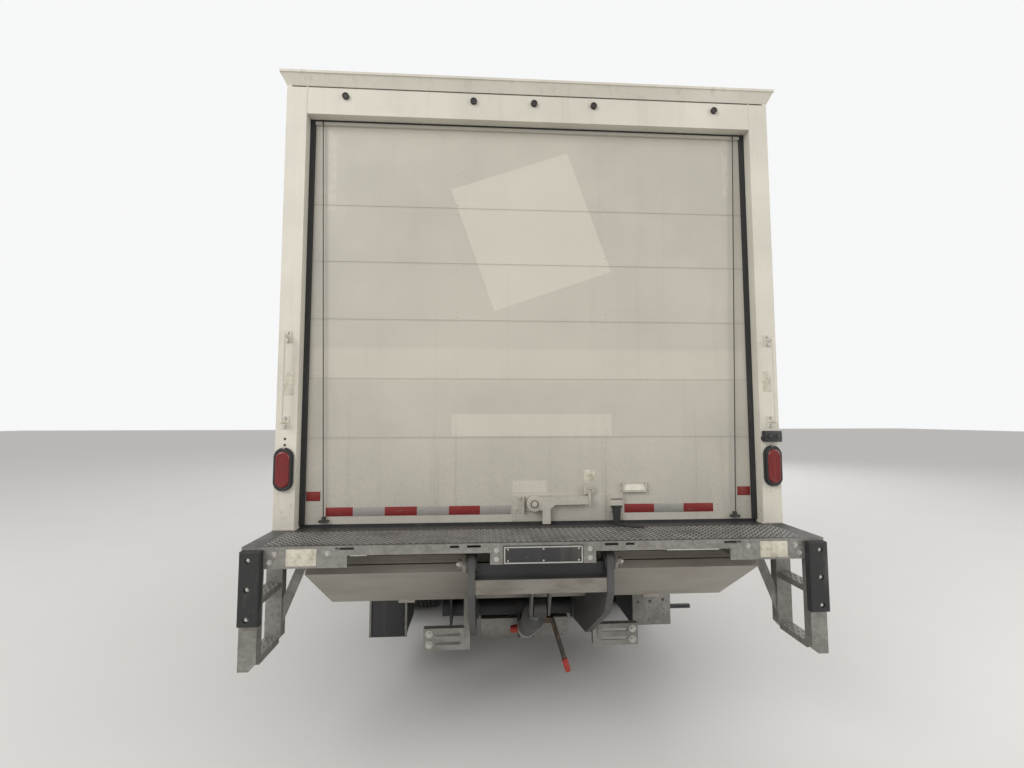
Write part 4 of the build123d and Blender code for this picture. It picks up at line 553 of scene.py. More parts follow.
PLAIN = {
    "tread_worn": {
        "cloud": (9, 5, 0.65), "edge": (0.35, 0.75, 1.0),
        "tones": ((0.34, 0.335, 0.32), (0.17, 0.165, 0.155)),
        "grain": (120, 3, 0.6), "rough": (0.34, 0, 0.2), "relief": (0, 1, 0.15, 0.0005), "metallic": 0.75},
    "cast_iron": {
        "cloud": (8, 5, 0.6), "edge": (0.4, 0.7, 1.0), "tones": ((0.055, 0.050, 0.046), (0.13, 0.085, 0.055)),
        "grain": (150, 4, 0.7), "specks": (0.55, 0.75, 0.5, RUST), "rough": (0.62, 0, 0.2),
        "relief": (0.4, 1, 0.4, 0.0015), "metallic": 0.3},
    "exhaust_steel": {
        "cloud": (7, 5, 0.65), "edge": (0.35, 0.7, 1.0), "tones": ((0.20, 0.17, 0.145), (0.15, 0.075, 0.04)),
        "grain": (90, 4, 0.7), "specks": (0.55, 0.7, 0.6, RUST), "rough": (0.55, 0, 0.25),
        "relief": (0, 1, 0.35, 0.001), "metallic": 0.6},
    # Dark bolts and levers; also the painted shade of the latch shadows, the cap's foot and the open holes
    "dark_bolt_and_shade": {
        "cloud": (40, 4, 0.65), "edge": (0.4, 0.7, 1.0), "tones": ((0.06, 0.055, 0.05), (0.16, 0.10, 0.06)),
        "rough": (0.5, 0.2, 0), "relief": (1, 0, 0.2, 0.0006), "metallic": 0.6},
    "rubber": {
        "cloud": (13, 5, 0.7, (1, 1, 0.4)), "edge": (0.5, 0.75, 0.7),
        "tones": ((0.018, 0.018, 0.018), (0.085, 0.080, 0.072)), "grain": (220, 3, 0.6),
        "rough": (0.62, 0.2, 0), "relief": (0.5, 1, 0.25, 0.001)},
    "tyre": {
        "cloud": (11, 5, 0.65), "edge": (0.42, 0.75, 0.55),
        "tones": ((0.020, 0.020, 0.021), (0.10, 0.088, 0.072)),
        "grain": (260, 3, 0.6), "rough": (0.7, 0.15, 0), "relief": (0.3, 1, 0.2, 0.0008)},
    "black_plastic": {
        "cloud": (14, 5, 0.6), "edge": (0.48, 0.8, 0.4),
        "tones": ((0.024, 0.024, 0.026), (0.12, 0.11, 0.095)),
        "grain": 650, "rough": (0.52, 0.2, 0), "relief": (0, 1, 0.2, 0.0005)},
    "dash_plastic": {
        "cloud": (9, 4, 0.6), "tones": ((0.065, 0.066, 0.070), (0.10, 0.10, 0.103)),
        "grain": 480, "rough": (0.5, 0.15, 0), "relief": (0, 1, 0.3, 0.0006)},
    "bare_sticker": {
        "cloud": (26, 5, 0.7), "edge": (0.4, 0.75, 1.0), "tones": ((0.58, 0.55, 0.46), (0.33, 0.29, 0.22)),
        "grain": (150, 3, 0.6), "specks": (0.6, 0.75, 0.6, DIRT), "rough": (0.5, 0.25, 0),
        "relief": (1, 0, 0.15, 0.0006)},
    "red_cap": {
        "cloud": (60, 4, 0.65), "edge": (0.45, 0.7, 1.0), "tones": ((0.42, 0.03, 0.02), (0.16, 0.04, 0.03)),
        "rough": (0.45, 0.2, 0), "relief": (1, 0, 0.2, 0.0006)},
}

FINISHES = {maker.__name__: maker for maker in (
    frame_paint, door_paint, van_skin, cab_paint, chassis_black, lift_black, wheel_paint, galvanised,
    platform_steel, rod_chrome, tank_aluminium, fitting_steel, cable_steel, floor_wood, door_seal, lens_red,
    lens_amber, lens_clear, seat_cloth, glass, mirror_glass, tape_red, tape_silver, bare_plate)}

MADE = {}


def finish_named(name):
    """The material of that name, made once."""
    if name not in MADE:
        made = plain(name, **PLAIN[name]) if name in PLAIN else FINISHES[name]()
        MADE[name] = made.material
    return MADE[name]


def facing(direction):
    """Turn that takes +Z to a direction."""
    return Vector(direction).to_track_quat("Z", "Y").to_matrix().to_4x4()


def about_x(degrees):
    return Matrix.Rotation(math.radians(degrees), 4, "X")


def edges_of(verts):
    return list({edge for vert in verts for edge in vert.link_edges})


class Piece:
    """A mesh under construction in the truck's own frame."""

    def __init__(self, name):
        self.name = name
        self.mesh = bmesh.new()

    def _soften(self, verts, width, segments=2):
        if width:
            bmesh.ops.bevel(self.mesh, geom=edges_of(verts), offset=width, offset_type="OFFSET",
                            segments=segments, profile=0.5, affect="EDGES", material=-1, clamp_overlap=True)

    def block(self, low, high, soft=0.0, turn=None):
        """Box between two corners, its edges softened, turned about its middle."""
        low, high = Vector(low), Vector(high)
        place = Matrix.Translation((low + high) / 2)
        if turn:
            place = place @ turn
        made = bmesh.ops.create_cube(self.mesh, size=1, matrix=place @ Matrix.Diagonal((*(high - low), 1)))
        self._soften(made["verts"], soft)

    def pair(self, near, far, y, z, soft=0.0):
        """Box on each side, near and far from the middle, between two values of Y and of Z."""
        for side in BOTH:
            self.beside(side, near, far, y, z, soft)

    def beside(self, side, near, far, y, z, soft=0.0):
        left, right = sorted((side * near, side * far))
        self.block((left, y[0], z[0]), (right, y[1], z[1]), soft)

    def drum(self, start, end, radius, end_radius=None, sides=24, soft=0.0):
        """Round bar, cone or nut between two points."""
        start, end = Vector(start), Vector(end)
        place = Matrix.Translation((start + end) / 2) @ facing(end - start)
        made = bmesh.ops.create_cone(
            self.mesh, cap_ends=True, segments=sides, radius1=radius,
            radius2=radius if end_radius is None else end_radius, depth=(end - start).length, matrix=place)
        self._soften(made["verts"], soft, 1)

    def domes(self, spots, axis, radius, height, sides=8):
        """Low rounded heads such as rivets'."""
        for spot in spots:
            place = Matrix.Translation(spot) @ facing(axis) @ Matrix.Diagonal((radius, radius, height, 1))
            bmesh.ops.create_uvsphere(self.mesh, u_segments=sides, v_segments=4, radius=1, matrix=place)

    def bolts(self, spots, axis, radius):
        """Hex heads on their washers."""
        for spot in spots:
            washer = Vector(spot) + axis * radius * 0.25
            self.drum(spot, washer, radius * 1.55, sides=16)
            self.drum(washer, washer + axis * radius * 0.8, radius, radius * 0.94, sides=6)

    def copies(self, step, count):
        """Row of copies of the mesh so far, each a step from the last."""
        geometry = self.mesh.verts[:] + self.mesh.edges[:] + self.mesh.faces[:]
        bmesh.ops.spin(self.mesh, geom=geometry, angle=0, steps=count, axis=(0, 0, 1), cent=(0, 0, 0),
                       dvec=step, use_duplicate=True)

    def turned(self, outline, centre, sides=48):
        """Profile of distance along X and radius, revolved round the X axis through a centre."""
        verts = [self.mesh.verts.new(centre + Vector((along, 0, radius))) for along, radius in outline]
        edges = [self.mesh.edges.new(pair) for pair in zip(verts, verts[1:])]
        bmesh.ops.spin(self.mesh, geom=verts + edges, angle=2 * math.pi, steps=sides, axis=(1, 0, 0),
                       cent=centre, use_merge=True)

    def _thicken(self, faces, thickness):
        grown = bmesh.ops.extrude_face_region(self.mesh, geom=faces)["geom"]
        moved = [item for item in grown if isinstance(item, bmesh.types.BMVert)]
        bmesh.ops.translate(self.mesh, vec=thickness, verts=moved)

    def slab(self, outline, thickness):
        """Flat outline of points in space given a thickness along a vector."""
        self._thicken([self.mesh.faces.new([self.mesh.verts.new(point) for point in outline])], thickness)

    def frame(self, outer, inner, thickness):
        """Ring between two outlines with the same number of points, given a thickness."""
        edges = []
        for outline in (outer, inner):
            verts = [self.mesh.verts.new(point) for point in outline]
            edges += [self.mesh.edges.new((verts[n - 1], verts[n])) for n in range(len(verts))]
        self._thicken(bmesh.ops.bridge_loops(self.mesh, edges=edges)["faces"], thickness)

    def made(self, material):
        """The mesh as an object in the scene."""
        data = bpy.data.meshes.new(self.name)
        self.mesh.to_mesh(data)
        self.mesh.free()
        data.materials.append(material)
        made = bpy.data.objects.new(self.name, data)
        bpy.context.scene.collection.objects.link(made)
        return made

    def done(self, material, body="truck", smooth=True):
        """Closes the piece, gives it its material and sets it to ride on a body."""
        bmesh.ops.remove_doubles(self.mesh, verts=self.mesh.verts, dist=1e-6)
        bmesh.ops.recalc_face_normals(self.mesh, faces=self.mesh.faces)
        made = self.made(finish_named(material))
        if smooth:
            made.data.shade_smooth()
            made.data.set_sharp_from_angle(angle=math.radians(35))
        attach(made, body)
        return made


def on_rear(x, rise, proud=0.0):
    """Point on the posts' rear face, up from the load floor."""
    return Vector((x, POST_FACE - proud, LOAD_FLOOR + rise))


def on_door(x, rise, proud=0.0):
    return Vector((x, DOOR_FACE - proud, LOAD_FLOOR + rise))


def on_beam(x, drop, proud=0.0):
    """Point on the rear face of the deck's beam, down from the load floor."""
    return Vector((x, DECK_LOW.y - proud, LOAD_FLOOR - drop))


def under(x, ahead, drop):
    """Point ahead of the posts' face and down from the load floor."""
    return Vector((x, POST_FACE + ahead, LOAD_FLOOR - drop))


def ring_angles(count, start=0.0):
    return [2 * math.pi * (number + start) / count for number in range(count)]


def oval(x, rise, half_width, half_height, proud):
    """Points of an upright oval on the posts' rear face."""
    points = []
    for angle in ring_angles(32):
        lift = math.copysign(half_height - half_width, math.sin(angle)) + half_width * math.sin(angle)
        points.append(on_rear(x + half_width * math.cos(angle), rise + lift, proud))
    return points


class TRUCK_OT_finishes(bpy.types.Operator):
    """Give every CAD piece the finish of its material slot, or the other finish listed for it"""

    bl_idname = "truck.finishes"
    bl_label = "Finishes"

    OTHER = {"lift_mount": "chassis_black", "door_seals": "door_seal"}

    def execute(self, context):
        for part in FRAME["record"]["subparts"]:
            carried = FRAME["nodes"][part["node"]]
            finish = finish_named(self.OTHER.get(part["node"], part["material_slot"]))
            if not carried.material_slots:
                carried.data.materials.append(finish)
            for slot in carried.material_slots:
                slot.material = finish
        return {"FINISHED"}


class TRUCK_OT_marking_tape(bpy.types.Operator):
    """Red and silver marking tape along the door's foot and the small pieces at its edges"""

    bl_idname = "truck.marking_tape"
    bl_label = "Marking tape"

    FOOT = 0.050
    # Start and lengths of each run, red and silver in turn
    RUNS = ((-0.999, (0.127, 0.150, 0.153, 0.153, 0.150, 0.151)), (0.445, (0.151, 0.150, 0.152)))
    EDGE_PIECES = ((-1.092, 0.123), (1.026, 0.128))
    EDGE_LENGTH, EDGE_HEIGHT = 0.066, 0.044

    def execute(self, context):
        red, silver = Piece("tape_red_strips"), Piece("tape_silver_strips")
        for start, lengths in self.RUNS:
            for number, length in enumerate(lengths):
                self._strip((red, silver)[number % 2], start, self.FOOT, length, sizes().tape_height)
                start += length
        for start, rise in self.EDGE_PIECES:
            self._strip(red, start, rise, self.EDGE_LENGTH, self.EDGE_HEIGHT)
        red.done("tape_red")
        silver.done("tape_silver")
        return {"FINISHED"}

    def _strip(self, strip, start, rise, length, height):
        strip.block(on_door(start, rise, 0.0012), on_door(start + length, rise + height, -0.0002), 0.0003)


class TRUCK_OT_door_hardware(bpy.types.Operator):
    """Hinge bolts, joint tongues, latch body, pull pocket and strap of the roll-up door"""

    bl_idname = "truck.door_hardware"
    bl_label = "Door hardware"

    HINGE_XS = (-1.060, -0.384, 0.364, 1.060)
    HUB = (-0.003, 0.102)

    def execute(self, context):
        self._joints()
        self._latch()
        self._strap()
        return {"FINISHED"}

    def _joints(self):
        bolts = Piece("door_hinge_bolts")
        spots = [on_door(x, joint + step) for joint in DOOR_JOINTS for x in self.HINGE_XS
                 for step in (-0.030, 0.018, 0.042)]
        spots += [on_door(x, rise) for rise in (0.105, 0.2, 0.3, 1.75, 1.85, 1.95)
                  for x in self.HINGE_XS[1:3]]
        bolts.domes(spots, BEHIND, 0.0045, 0.0022)
        bolts.done("door_paint")

        tongues = Piece("door_joint_tongues")
        for joint in DOOR_JOINTS:
            tongues.block(on_door(-1.116, joint - 0.0015, -0.0012), on_door(1.116, joint + 0.0015, -0.0200))
        tongues.done("door_paint")

    def _latch(self):
        latch = Piece("door_latch_body")
        latch.block(on_door(-0.110, 0.014, 0.0014), on_door(0.446, 0.1465, -0.0002), 0.0006)
        latch.block(on_door(0.362, 0.056, 0.004), on_door(0.440, 0.147, 0.001), 0.001)
        latch.drum(on_door(*self.HUB, 0.0425), on_door(*self.HUB, 0.037), 0.0125, sides=24, soft=0.002)
        latch.drum(on_door(*self.HUB, 0.0335), on_door(*self.HUB, 0.0185), 0.0375, sides=40, soft=0.002)
        latch.block(on_door(0.262, 0.090, 0.036), on_door(0.272, 0.150, 0.018), 0.0015)
        latch.bolts([on_door(0.270, 0.176, 0.018)], BEHIND, 0.0085)
        latch.bolts([on_door(0.286, 0.160, 0.018), on_door(0.254, 0.158, 0.018)], BEHIND, 0.005)
        latch.bolts([on_door(-0.092, 0.072, 0.003), on_door(-0.072, 0.128, 0.003)], BEHIND, 0.006)
        corners = ((-0.100, 0.024), (-0.100, 0.136), (0.160, 0.024), (0.160, 0.060), (0.340, 0.024),
                   (0.340, 0.136), (0.436, 0.024))
        latch.domes([on_door(x, rise, 0.0012) for x, rise in corners], BEHIND, 0.0055, 0.0026, 10)
        pocket = [on_door(x, rise) for x in (0.428, 0.568) for rise in (0.160, 0.190)]
        latch.domes(pocket, BEHIND, 0.005, 0.003, 10)
        latch.done("door_paint")

        scoop = Piece("pull_pocket_scoop")
        section = ((0.1980, 0.0005), (0.1600, 0.0135), (0.1580, 0.0005))
        scoop.slab([on_door(0.4455, rise, proud) for rise, proud in section], Vector((0.105, 0, 0)))
        scoop.done("frame_paint")

        marks = Piece("door_latch_shadows")
        marks.frame(self._round(0.0195), self._round(0.0150), BEHIND * 0.0006)
        marks.block(on_door(0.376, 0.116, 0.0166), on_door(0.434, 0.121, 0.0158))
        marks.block(on_door(0.037, 0.0015, 0.0225), on_door(0.073, 0.007, 0.0215))
        marks.done("dark_bolt_and_shade")

    def _round(self, radius):
        """Points of the dark ring round the lever's pivot."""
        x, rise = self.HUB
        return [on_door(x + radius * math.cos(turn), rise + radius * math.sin(turn), 0.0380)
                for turn in ring_angles(28)]

    def _strap(self):
        strap = Piece("pull_strap")
        hanging = ((0.379, 0.084), (0.425, 0.084), (0.419, 0.004), (0.387, 0.004))
        strap.slab([on_door(x, rise, 0.0170) for x, rise in hanging], BEHIND * 0.0022)
        lying = [on_door(0.387, 0.0005, 0.0150), on_door(0.421, 0.0005, 0.0150)]
        lying += [on_rear(x, 0.0030, proud) for x, proud in ((0.512, 0.040), (0.498, 0.066), (0.430, 0.040))]
        strap.slab(lying, UP * 0.0022)
        strap.block(on_door(0.374, 0.078, 0.0215), on_door(0.430, 0.088, 0.0155), 0.0015)
        strap.done("rubber")

        anchors = Piece("cable_anchor_bolts")
        spots = [on_door(side * x, 0.029, 0.0130) for side in BOTH for x in (0.992, 1.018)]
        anchors.bolts(spots, BEHIND, 0.005)
        anchors.done("dark_bolt_and_shade")


class TRUCK_OT_rear_frame_trim(bpy.types.Operator):
    """Handle bolts, lamp grommets, clamp box, bare stickers, seams and the painted shadow under the cap of
    the rear frame
    """

    bl_idname = "truck.rear_frame_trim"
    bl_label = "Rear frame trim"

    MARKER_XS = (-0.935, -0.305, 0.0, 0.305, 0.935)
    MARKER_RISE = 2.103

    def execute(self, context):
        self._posts()
        self._stickers()
        # Painted shadow under the cap's foot: a thin dark strip across the header
        cap_shadow = Piece("cap_foot_shadow")
        cap_shadow.block(on_rear(-1.195, 2.1455, 0.0012), on_rear(1.195, 2.1510, -0.0002))
        cap_shadow.done("dark_bolt_and_shade")

        beads = Piece("frame_weld_beads")
        for side in BOTH:
            x = side * (BODY_HALF - 0.097)
            spots = [on_rear(x, 2.016 + number * 0.010) for number in range(14)]
            spots += [on_rear(x + side * (0.006 + number * 0.0095), 0.006) for number in range(10)]
            beads.domes(spots, BEHIND, 0.0052, 0.0018)
        beads.done("frame_paint")
        return {"FINISHED"}

    def _posts(self):
        bolts = Piece("handle_bolts")
        rises = [rise + step for rise in (0.497, 0.902) for step in (-0.019, 0.019)]
        bolts.bolts([on_rear(side * LAMP_X, rise, 0.005) for side in BOTH for rise in rises], BEHIND, 0.006)
        bolts.done("fitting_steel")

        holes = Piece("open_bolt_holes")
        # Dark discs in the open bolt holes: painted shade inside the holes
        for rise in (0.392, 0.420):
            holes.drum(on_rear(-LAMP_X, rise, 0.0006), on_rear(-LAMP_X, rise, -0.002), 0.006, sides=16)
        holes.done("dark_bolt_and_shade")

        grommets = Piece("marker_grommets")
        for x in self.MARKER_XS:
            outer, inner = [oval(x, self.MARKER_RISE, radius, radius, -0.001) for radius in (0.0162, 0.0115)]
            grommets.frame(outer, inner, BEHIND * 0.0115)
        grommets.done("rubber")

        clamp = Piece("post_clamp_box")
        clamp.block(on_rear(1.128, 0.398, 0.030), on_rear(1.215, 0.452), 0.004)
        clamp.block(on_rear(1.120, 0.408, 0.020), on_rear(1.222, 0.424, 0.004), 0.003)
        for x in (1.150, 1.192):
            clamp.drum(on_rear(x, 0.425, 0.040), on_rear(x, 0.425, 0.028), 0.010, sides=16, soft=0.001)
        clamp.done("black_plastic")

    def _stickers(self):
        """Blank stickers on the posts, the door and the beam."""
        stickers = Piece("bare_stickers")
        for low, high, place in (
                ((-1.189, 0.625), (-1.142, 0.734), on_rear), ((1.143, 0.645), (1.189, 0.750), on_rear),
                ((0.243, 0.206), (0.300, 0.259), on_door),
                ((-1.045, 0.079), (-0.925, 0.012), on_beam), ((0.935, 0.079), (1.056, 0.012), on_beam)):
            stickers.block(place(*low, 0.0008), place(*high, -0.0002), 0.0002)
        stickers.done("bare_sticker")


class TRUCK_OT_tail_lamp_rims(bpy.types.Operator):
    """Rubber lip, lens ridges and screws of the oval tail lamps"""

    bl_idname = "truck.tail_lamp_rims"
    bl_label = "Tail lamp rims"

    def execute(self, context):
        rims = Piece("tail_lamp_rims")
        ridges = Piece("tail_lamp_ridges")
        screws = Piece("tail_lamp_screws")
        for side in BOTH:
            x = side * LAMP_X
            rims.frame(oval(x, LAMP_RISE, 0.0400, 0.0950, 0.0115), oval(x, LAMP_RISE, 0.0312, 0.0825, 0.0115),
                       BEHIND * 0.009)
            for inset in (0.0, 0.011):
                ridges.frame(oval(x, LAMP_RISE, 0.0225 - inset, 0.0720 - inset, 0.0255),
                             oval(x, LAMP_RISE, 0.0205 - inset, 0.0700 - inset, 0.0255), BEHIND * 0.0016)
            screws.domes([on_rear(x, rise, 0.012) for rise in (0.185, 0.375)], BEHIND, 0.0045, 0.0022, 10)
        rims.done("rubber")
        ridges.done("lens_red")
        screws.done("fitting_steel")
        return {"FINISHED"}


class TRUCK_OT_deck_tread(bpy.types.Operator):
    """Raised marks of the deck's tread plate, the beam's bolts and its bare plate"""

    bl_idname = "truck.deck_tread"
    bl_label = "Deck tread"

    MARK = (0.0125, 0.0044)
    PLATE_HALF, PLATE_TOP, PLATE_FOOT = 0.168, 0.012, 0.088

    def execute(self, context):
        self._marks(sizes().tread_pitch)
        bolts = Piece("deck_beam_bolts")
        places = ((1.090, 0.030), (1.108, 0.062), (0.880, 0.030), (0.196, 0.030), (0.196, 0.066))
        bolts.bolts([on_beam(side * x, drop) for side in BOTH for x, drop in places], BEHIND, 0.007)
        bolts.done("fitting_steel")

        plate = Piece("bare_beam_plate")
        plate.block(on_beam(-self.PLATE_HALF, self.PLATE_FOOT, 0.005),
                    on_beam(self.PLATE_HALF, self.PLATE_TOP), 0.002)
        plate.done("bare_plate")

        rim = Piece("bare_beam_plate_rim")
        rim.frame(self._edge(0.0035), self._edge(0.0085), BEHIND * 0.0012)
        studs = [on_beam(x, drop, 0.0048) for x in (-0.148, 0.0, 0.148) for drop in (0.0265, 0.0735)]
        rim.domes(studs, BEHIND, 0.0042, 0.0022, 10)
        rim.done("fitting_steel")
        return {"FINISHED"}

    def _marks(self, pitch):
        across = int(2 * (BODY_HALF - 0.066) // pitch)
        deep = int((POST_FACE - DECK_LOW.y - 0.03) // pitch)
        start_x = -pitch * (across - 1) / 2
        for odd, lean in ((0, -45), (1, 45)):
            marks = Piece("deck_tread_marks_%d" % odd)
            shift = odd * pitch / 2
            place = Matrix.Translation((start_x + shift, DECK_LOW.y + 0.022 + shift, LOAD_FLOOR + 0.0006))
            turn = Matrix.Rotation(math.radians(lean), 4, "Z")
            bmesh.ops.create_cone(marks.mesh, cap_ends=True, segments=8, radius1=1, radius2=0.55,
                                  depth=0.0022, matrix=place @ turn @ Matrix.Diagonal((*self.MARK, 1, 1)))
            marks.copies((0, pitch, 0), deep - 1 - odd)
            marks.copies((pitch, 0, 0), across - 1 - odd)
            marks.done("tread_worn", smooth=False)

    def _edge(self, inset):
        """Corners of the bare plate drawn in by an inset."""
        x = self.PLATE_HALF - inset
        foot, top = self.PLATE_FOOT - inset, self.PLATE_TOP + inset
        return [on_beam(at, drop, 0.0048) for at, drop in ((-x, foot), (x, foot), (x, top), (-x, top))]


class TRUCK_OT_side_step_grips(bpy.types.Operator):
    """Toothed treads, dock bumper bolts and gusset bolts of the side ladders"""

    bl_idname = "truck.side_step_grips"
    bl_label = "Side step grips"

    def execute(self, context):
        teeth = Piece("step_teeth")
        for side in BOTH:
            for rise in (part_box("side_steps")[0].z + 0.031, LOAD_FLOOR - 0.217):
                for number in range(15):
                    row, column = divmod(number, 3)
                    x = side * (BODY_HALF - 0.056 + column * 0.021)
                    y = DECK_LOW.y + 0.068 + row * 0.036
                    teeth.drum((x, y, rise - 0.001), (x, y, rise + 0.004), 0.006, 0.0035, sides=8)
        teeth.done("galvanised")

        bolts = Piece("dock_bumper_bolts")
        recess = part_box("rubber_bumpers")[0].y + 0.012
        for side in BOTH:
            bumper = [(side * 1.180, recess, LOAD_FLOOR - drop) for drop in (0.044, 0.158, 0.273)]
            bolts.bolts(bumper, BEHIND, 0.0075)
            posts = [(side * BODY_HALF, y, LOAD_FLOOR - drop) for drop in (0.10, 0.40)
                     for y in (POST_FACE - 0.022, DECK_LOW.y + 0.022)]
            bolts.bolts(posts, OUT[side], 0.009)
        bolts.done("fitting_steel")
        return {"FINISHED"}


class TRUCK_OT_van_rivets(bpy.types.Operator):
    """Rivet rows, upright seams, marker lamps and front roof rail of the van"""

    bl_idname = "truck.van_rivets"
    bl_label = "Van rivets"

    CROWN = 0.022

    def execute(self, context):
        size = sizes()
        back, length = WALL_LOW.y + 0.03, WALL_HIGH.y - WALL_LOW.y - 0.05
        count = int(length // size.seam_pitch)
        seam_ys = [back + number * length / (count + 1) for number in range(1, count + 1)]
        self._walls(size, back, length, seam_ys)
        self._lamps()
        self._roof(size, seam_ys)
        return {"FINISHED"}

    def _walls(self, size, back, length, seam_ys):
        rivets = Piece("wall_rivets")
        strips = Piece("wall_seams")
        low, high = WALL_LOW.z, WALL_HIGH.z
        levels = [low + 0.21 + number * (high - low - 0.37) / 20 for number in range(21)]
        count = int(length // size.rivet_pitch)
        rows = [back + number * length / count for number in range(count + 1)]
        skin = BODY_HALF - 0.003
        for side in BOTH:
            for y in seam_ys:
                strips.beside(side, skin, skin + 0.0016, (y - 0.019, y + 0.019),
                              (low + 0.165, high - 0.115), 0.0005)
            spots = [(side * (skin + 0.0015), y - 0.010, z) for y in seam_ys for z in levels]
            spots += [(side * BODY_HALF, y, z) for y in rows
                      for z in (low + 0.125, high - 0.022, high - 0.088)]
            rivets.domes(spots, OUT[side], size.rivet_radius, 0.0024, 6)
        spots = [(-1.08 + number * 0.09, FRONT_HIGH.y, z) for number in range(25)
                 for z in (FRONT_LOW.z + 0.05, FRONT_HIGH.z - 0.04)]
        rivets.domes(spots, AHEAD, size.rivet_radius, 0.0024, 6)
        rivets.done("van_skin")
        strips.done("van_skin")

    def _lamps(self):
        amber, red = Piece("side_marker_amber"), Piece("side_marker_red")
        places = [(red, (side * BODY_HALF, WALL_LOW.y + 0.15, z), OUT[side]) for side in BOTH
                  for z in (WALL_LOW.z + 0.075, WALL_HIGH.z - 0.055)]
        places += [(amber, (side * BODY_HALF, WALL_HIGH.y - 0.20, z), OUT[side]) for side in BOTH
                   for z in (WALL_LOW.z + 0.075, WALL_HIGH.z - 0.055)]
        places += [(amber, (x, FRONT_HIGH.y, FRONT_HIGH.z - 0.10), AHEAD)
                   for x in (-1.05, -0.20, 0.0, 0.20, 1.05)]
        for lamp, place, axis in places:
            lamp.drum(place, Vector(place) + axis * 0.014, 0.032, 0.026, 24, 0.003)
        amber.done("lens_amber")
        red.done("lens_red")

    def _roof(self, size, seam_ys):
        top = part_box("van_roof")[1].z
        rail = Piece("front_top_rail")
        half, foot = BODY_HALF - 0.110, FRONT_HIGH.z - 0.034
        crown = [-half + half * number / 6 for number in range(13)]
        outline = [(-half, foot), *((x, self._over(x, top) - 0.002) for x in crown), (half, foot)]
        rail.slab([(x, FRONT_HIGH.y - 0.001, z) for x, z in outline], AHEAD * 0.005)
        rail.done("van_skin")

        roof = Piece("roof_seams")
        xs = [side * (0.06 + number * 0.118) for side in BOTH for number in range(10)]
        spots = [(x, y, self._over(x, top)) for y in seam_ys for x in xs]
        roof.domes(spots, UP, size.rivet_radius, 0.0022, 6)
        roof.done("van_skin")

    def _over(self, x, top):
        """Height of the crowned roof at a distance from the middle."""
        return top - self.CROWN * (x / BODY_HALF) ** 2


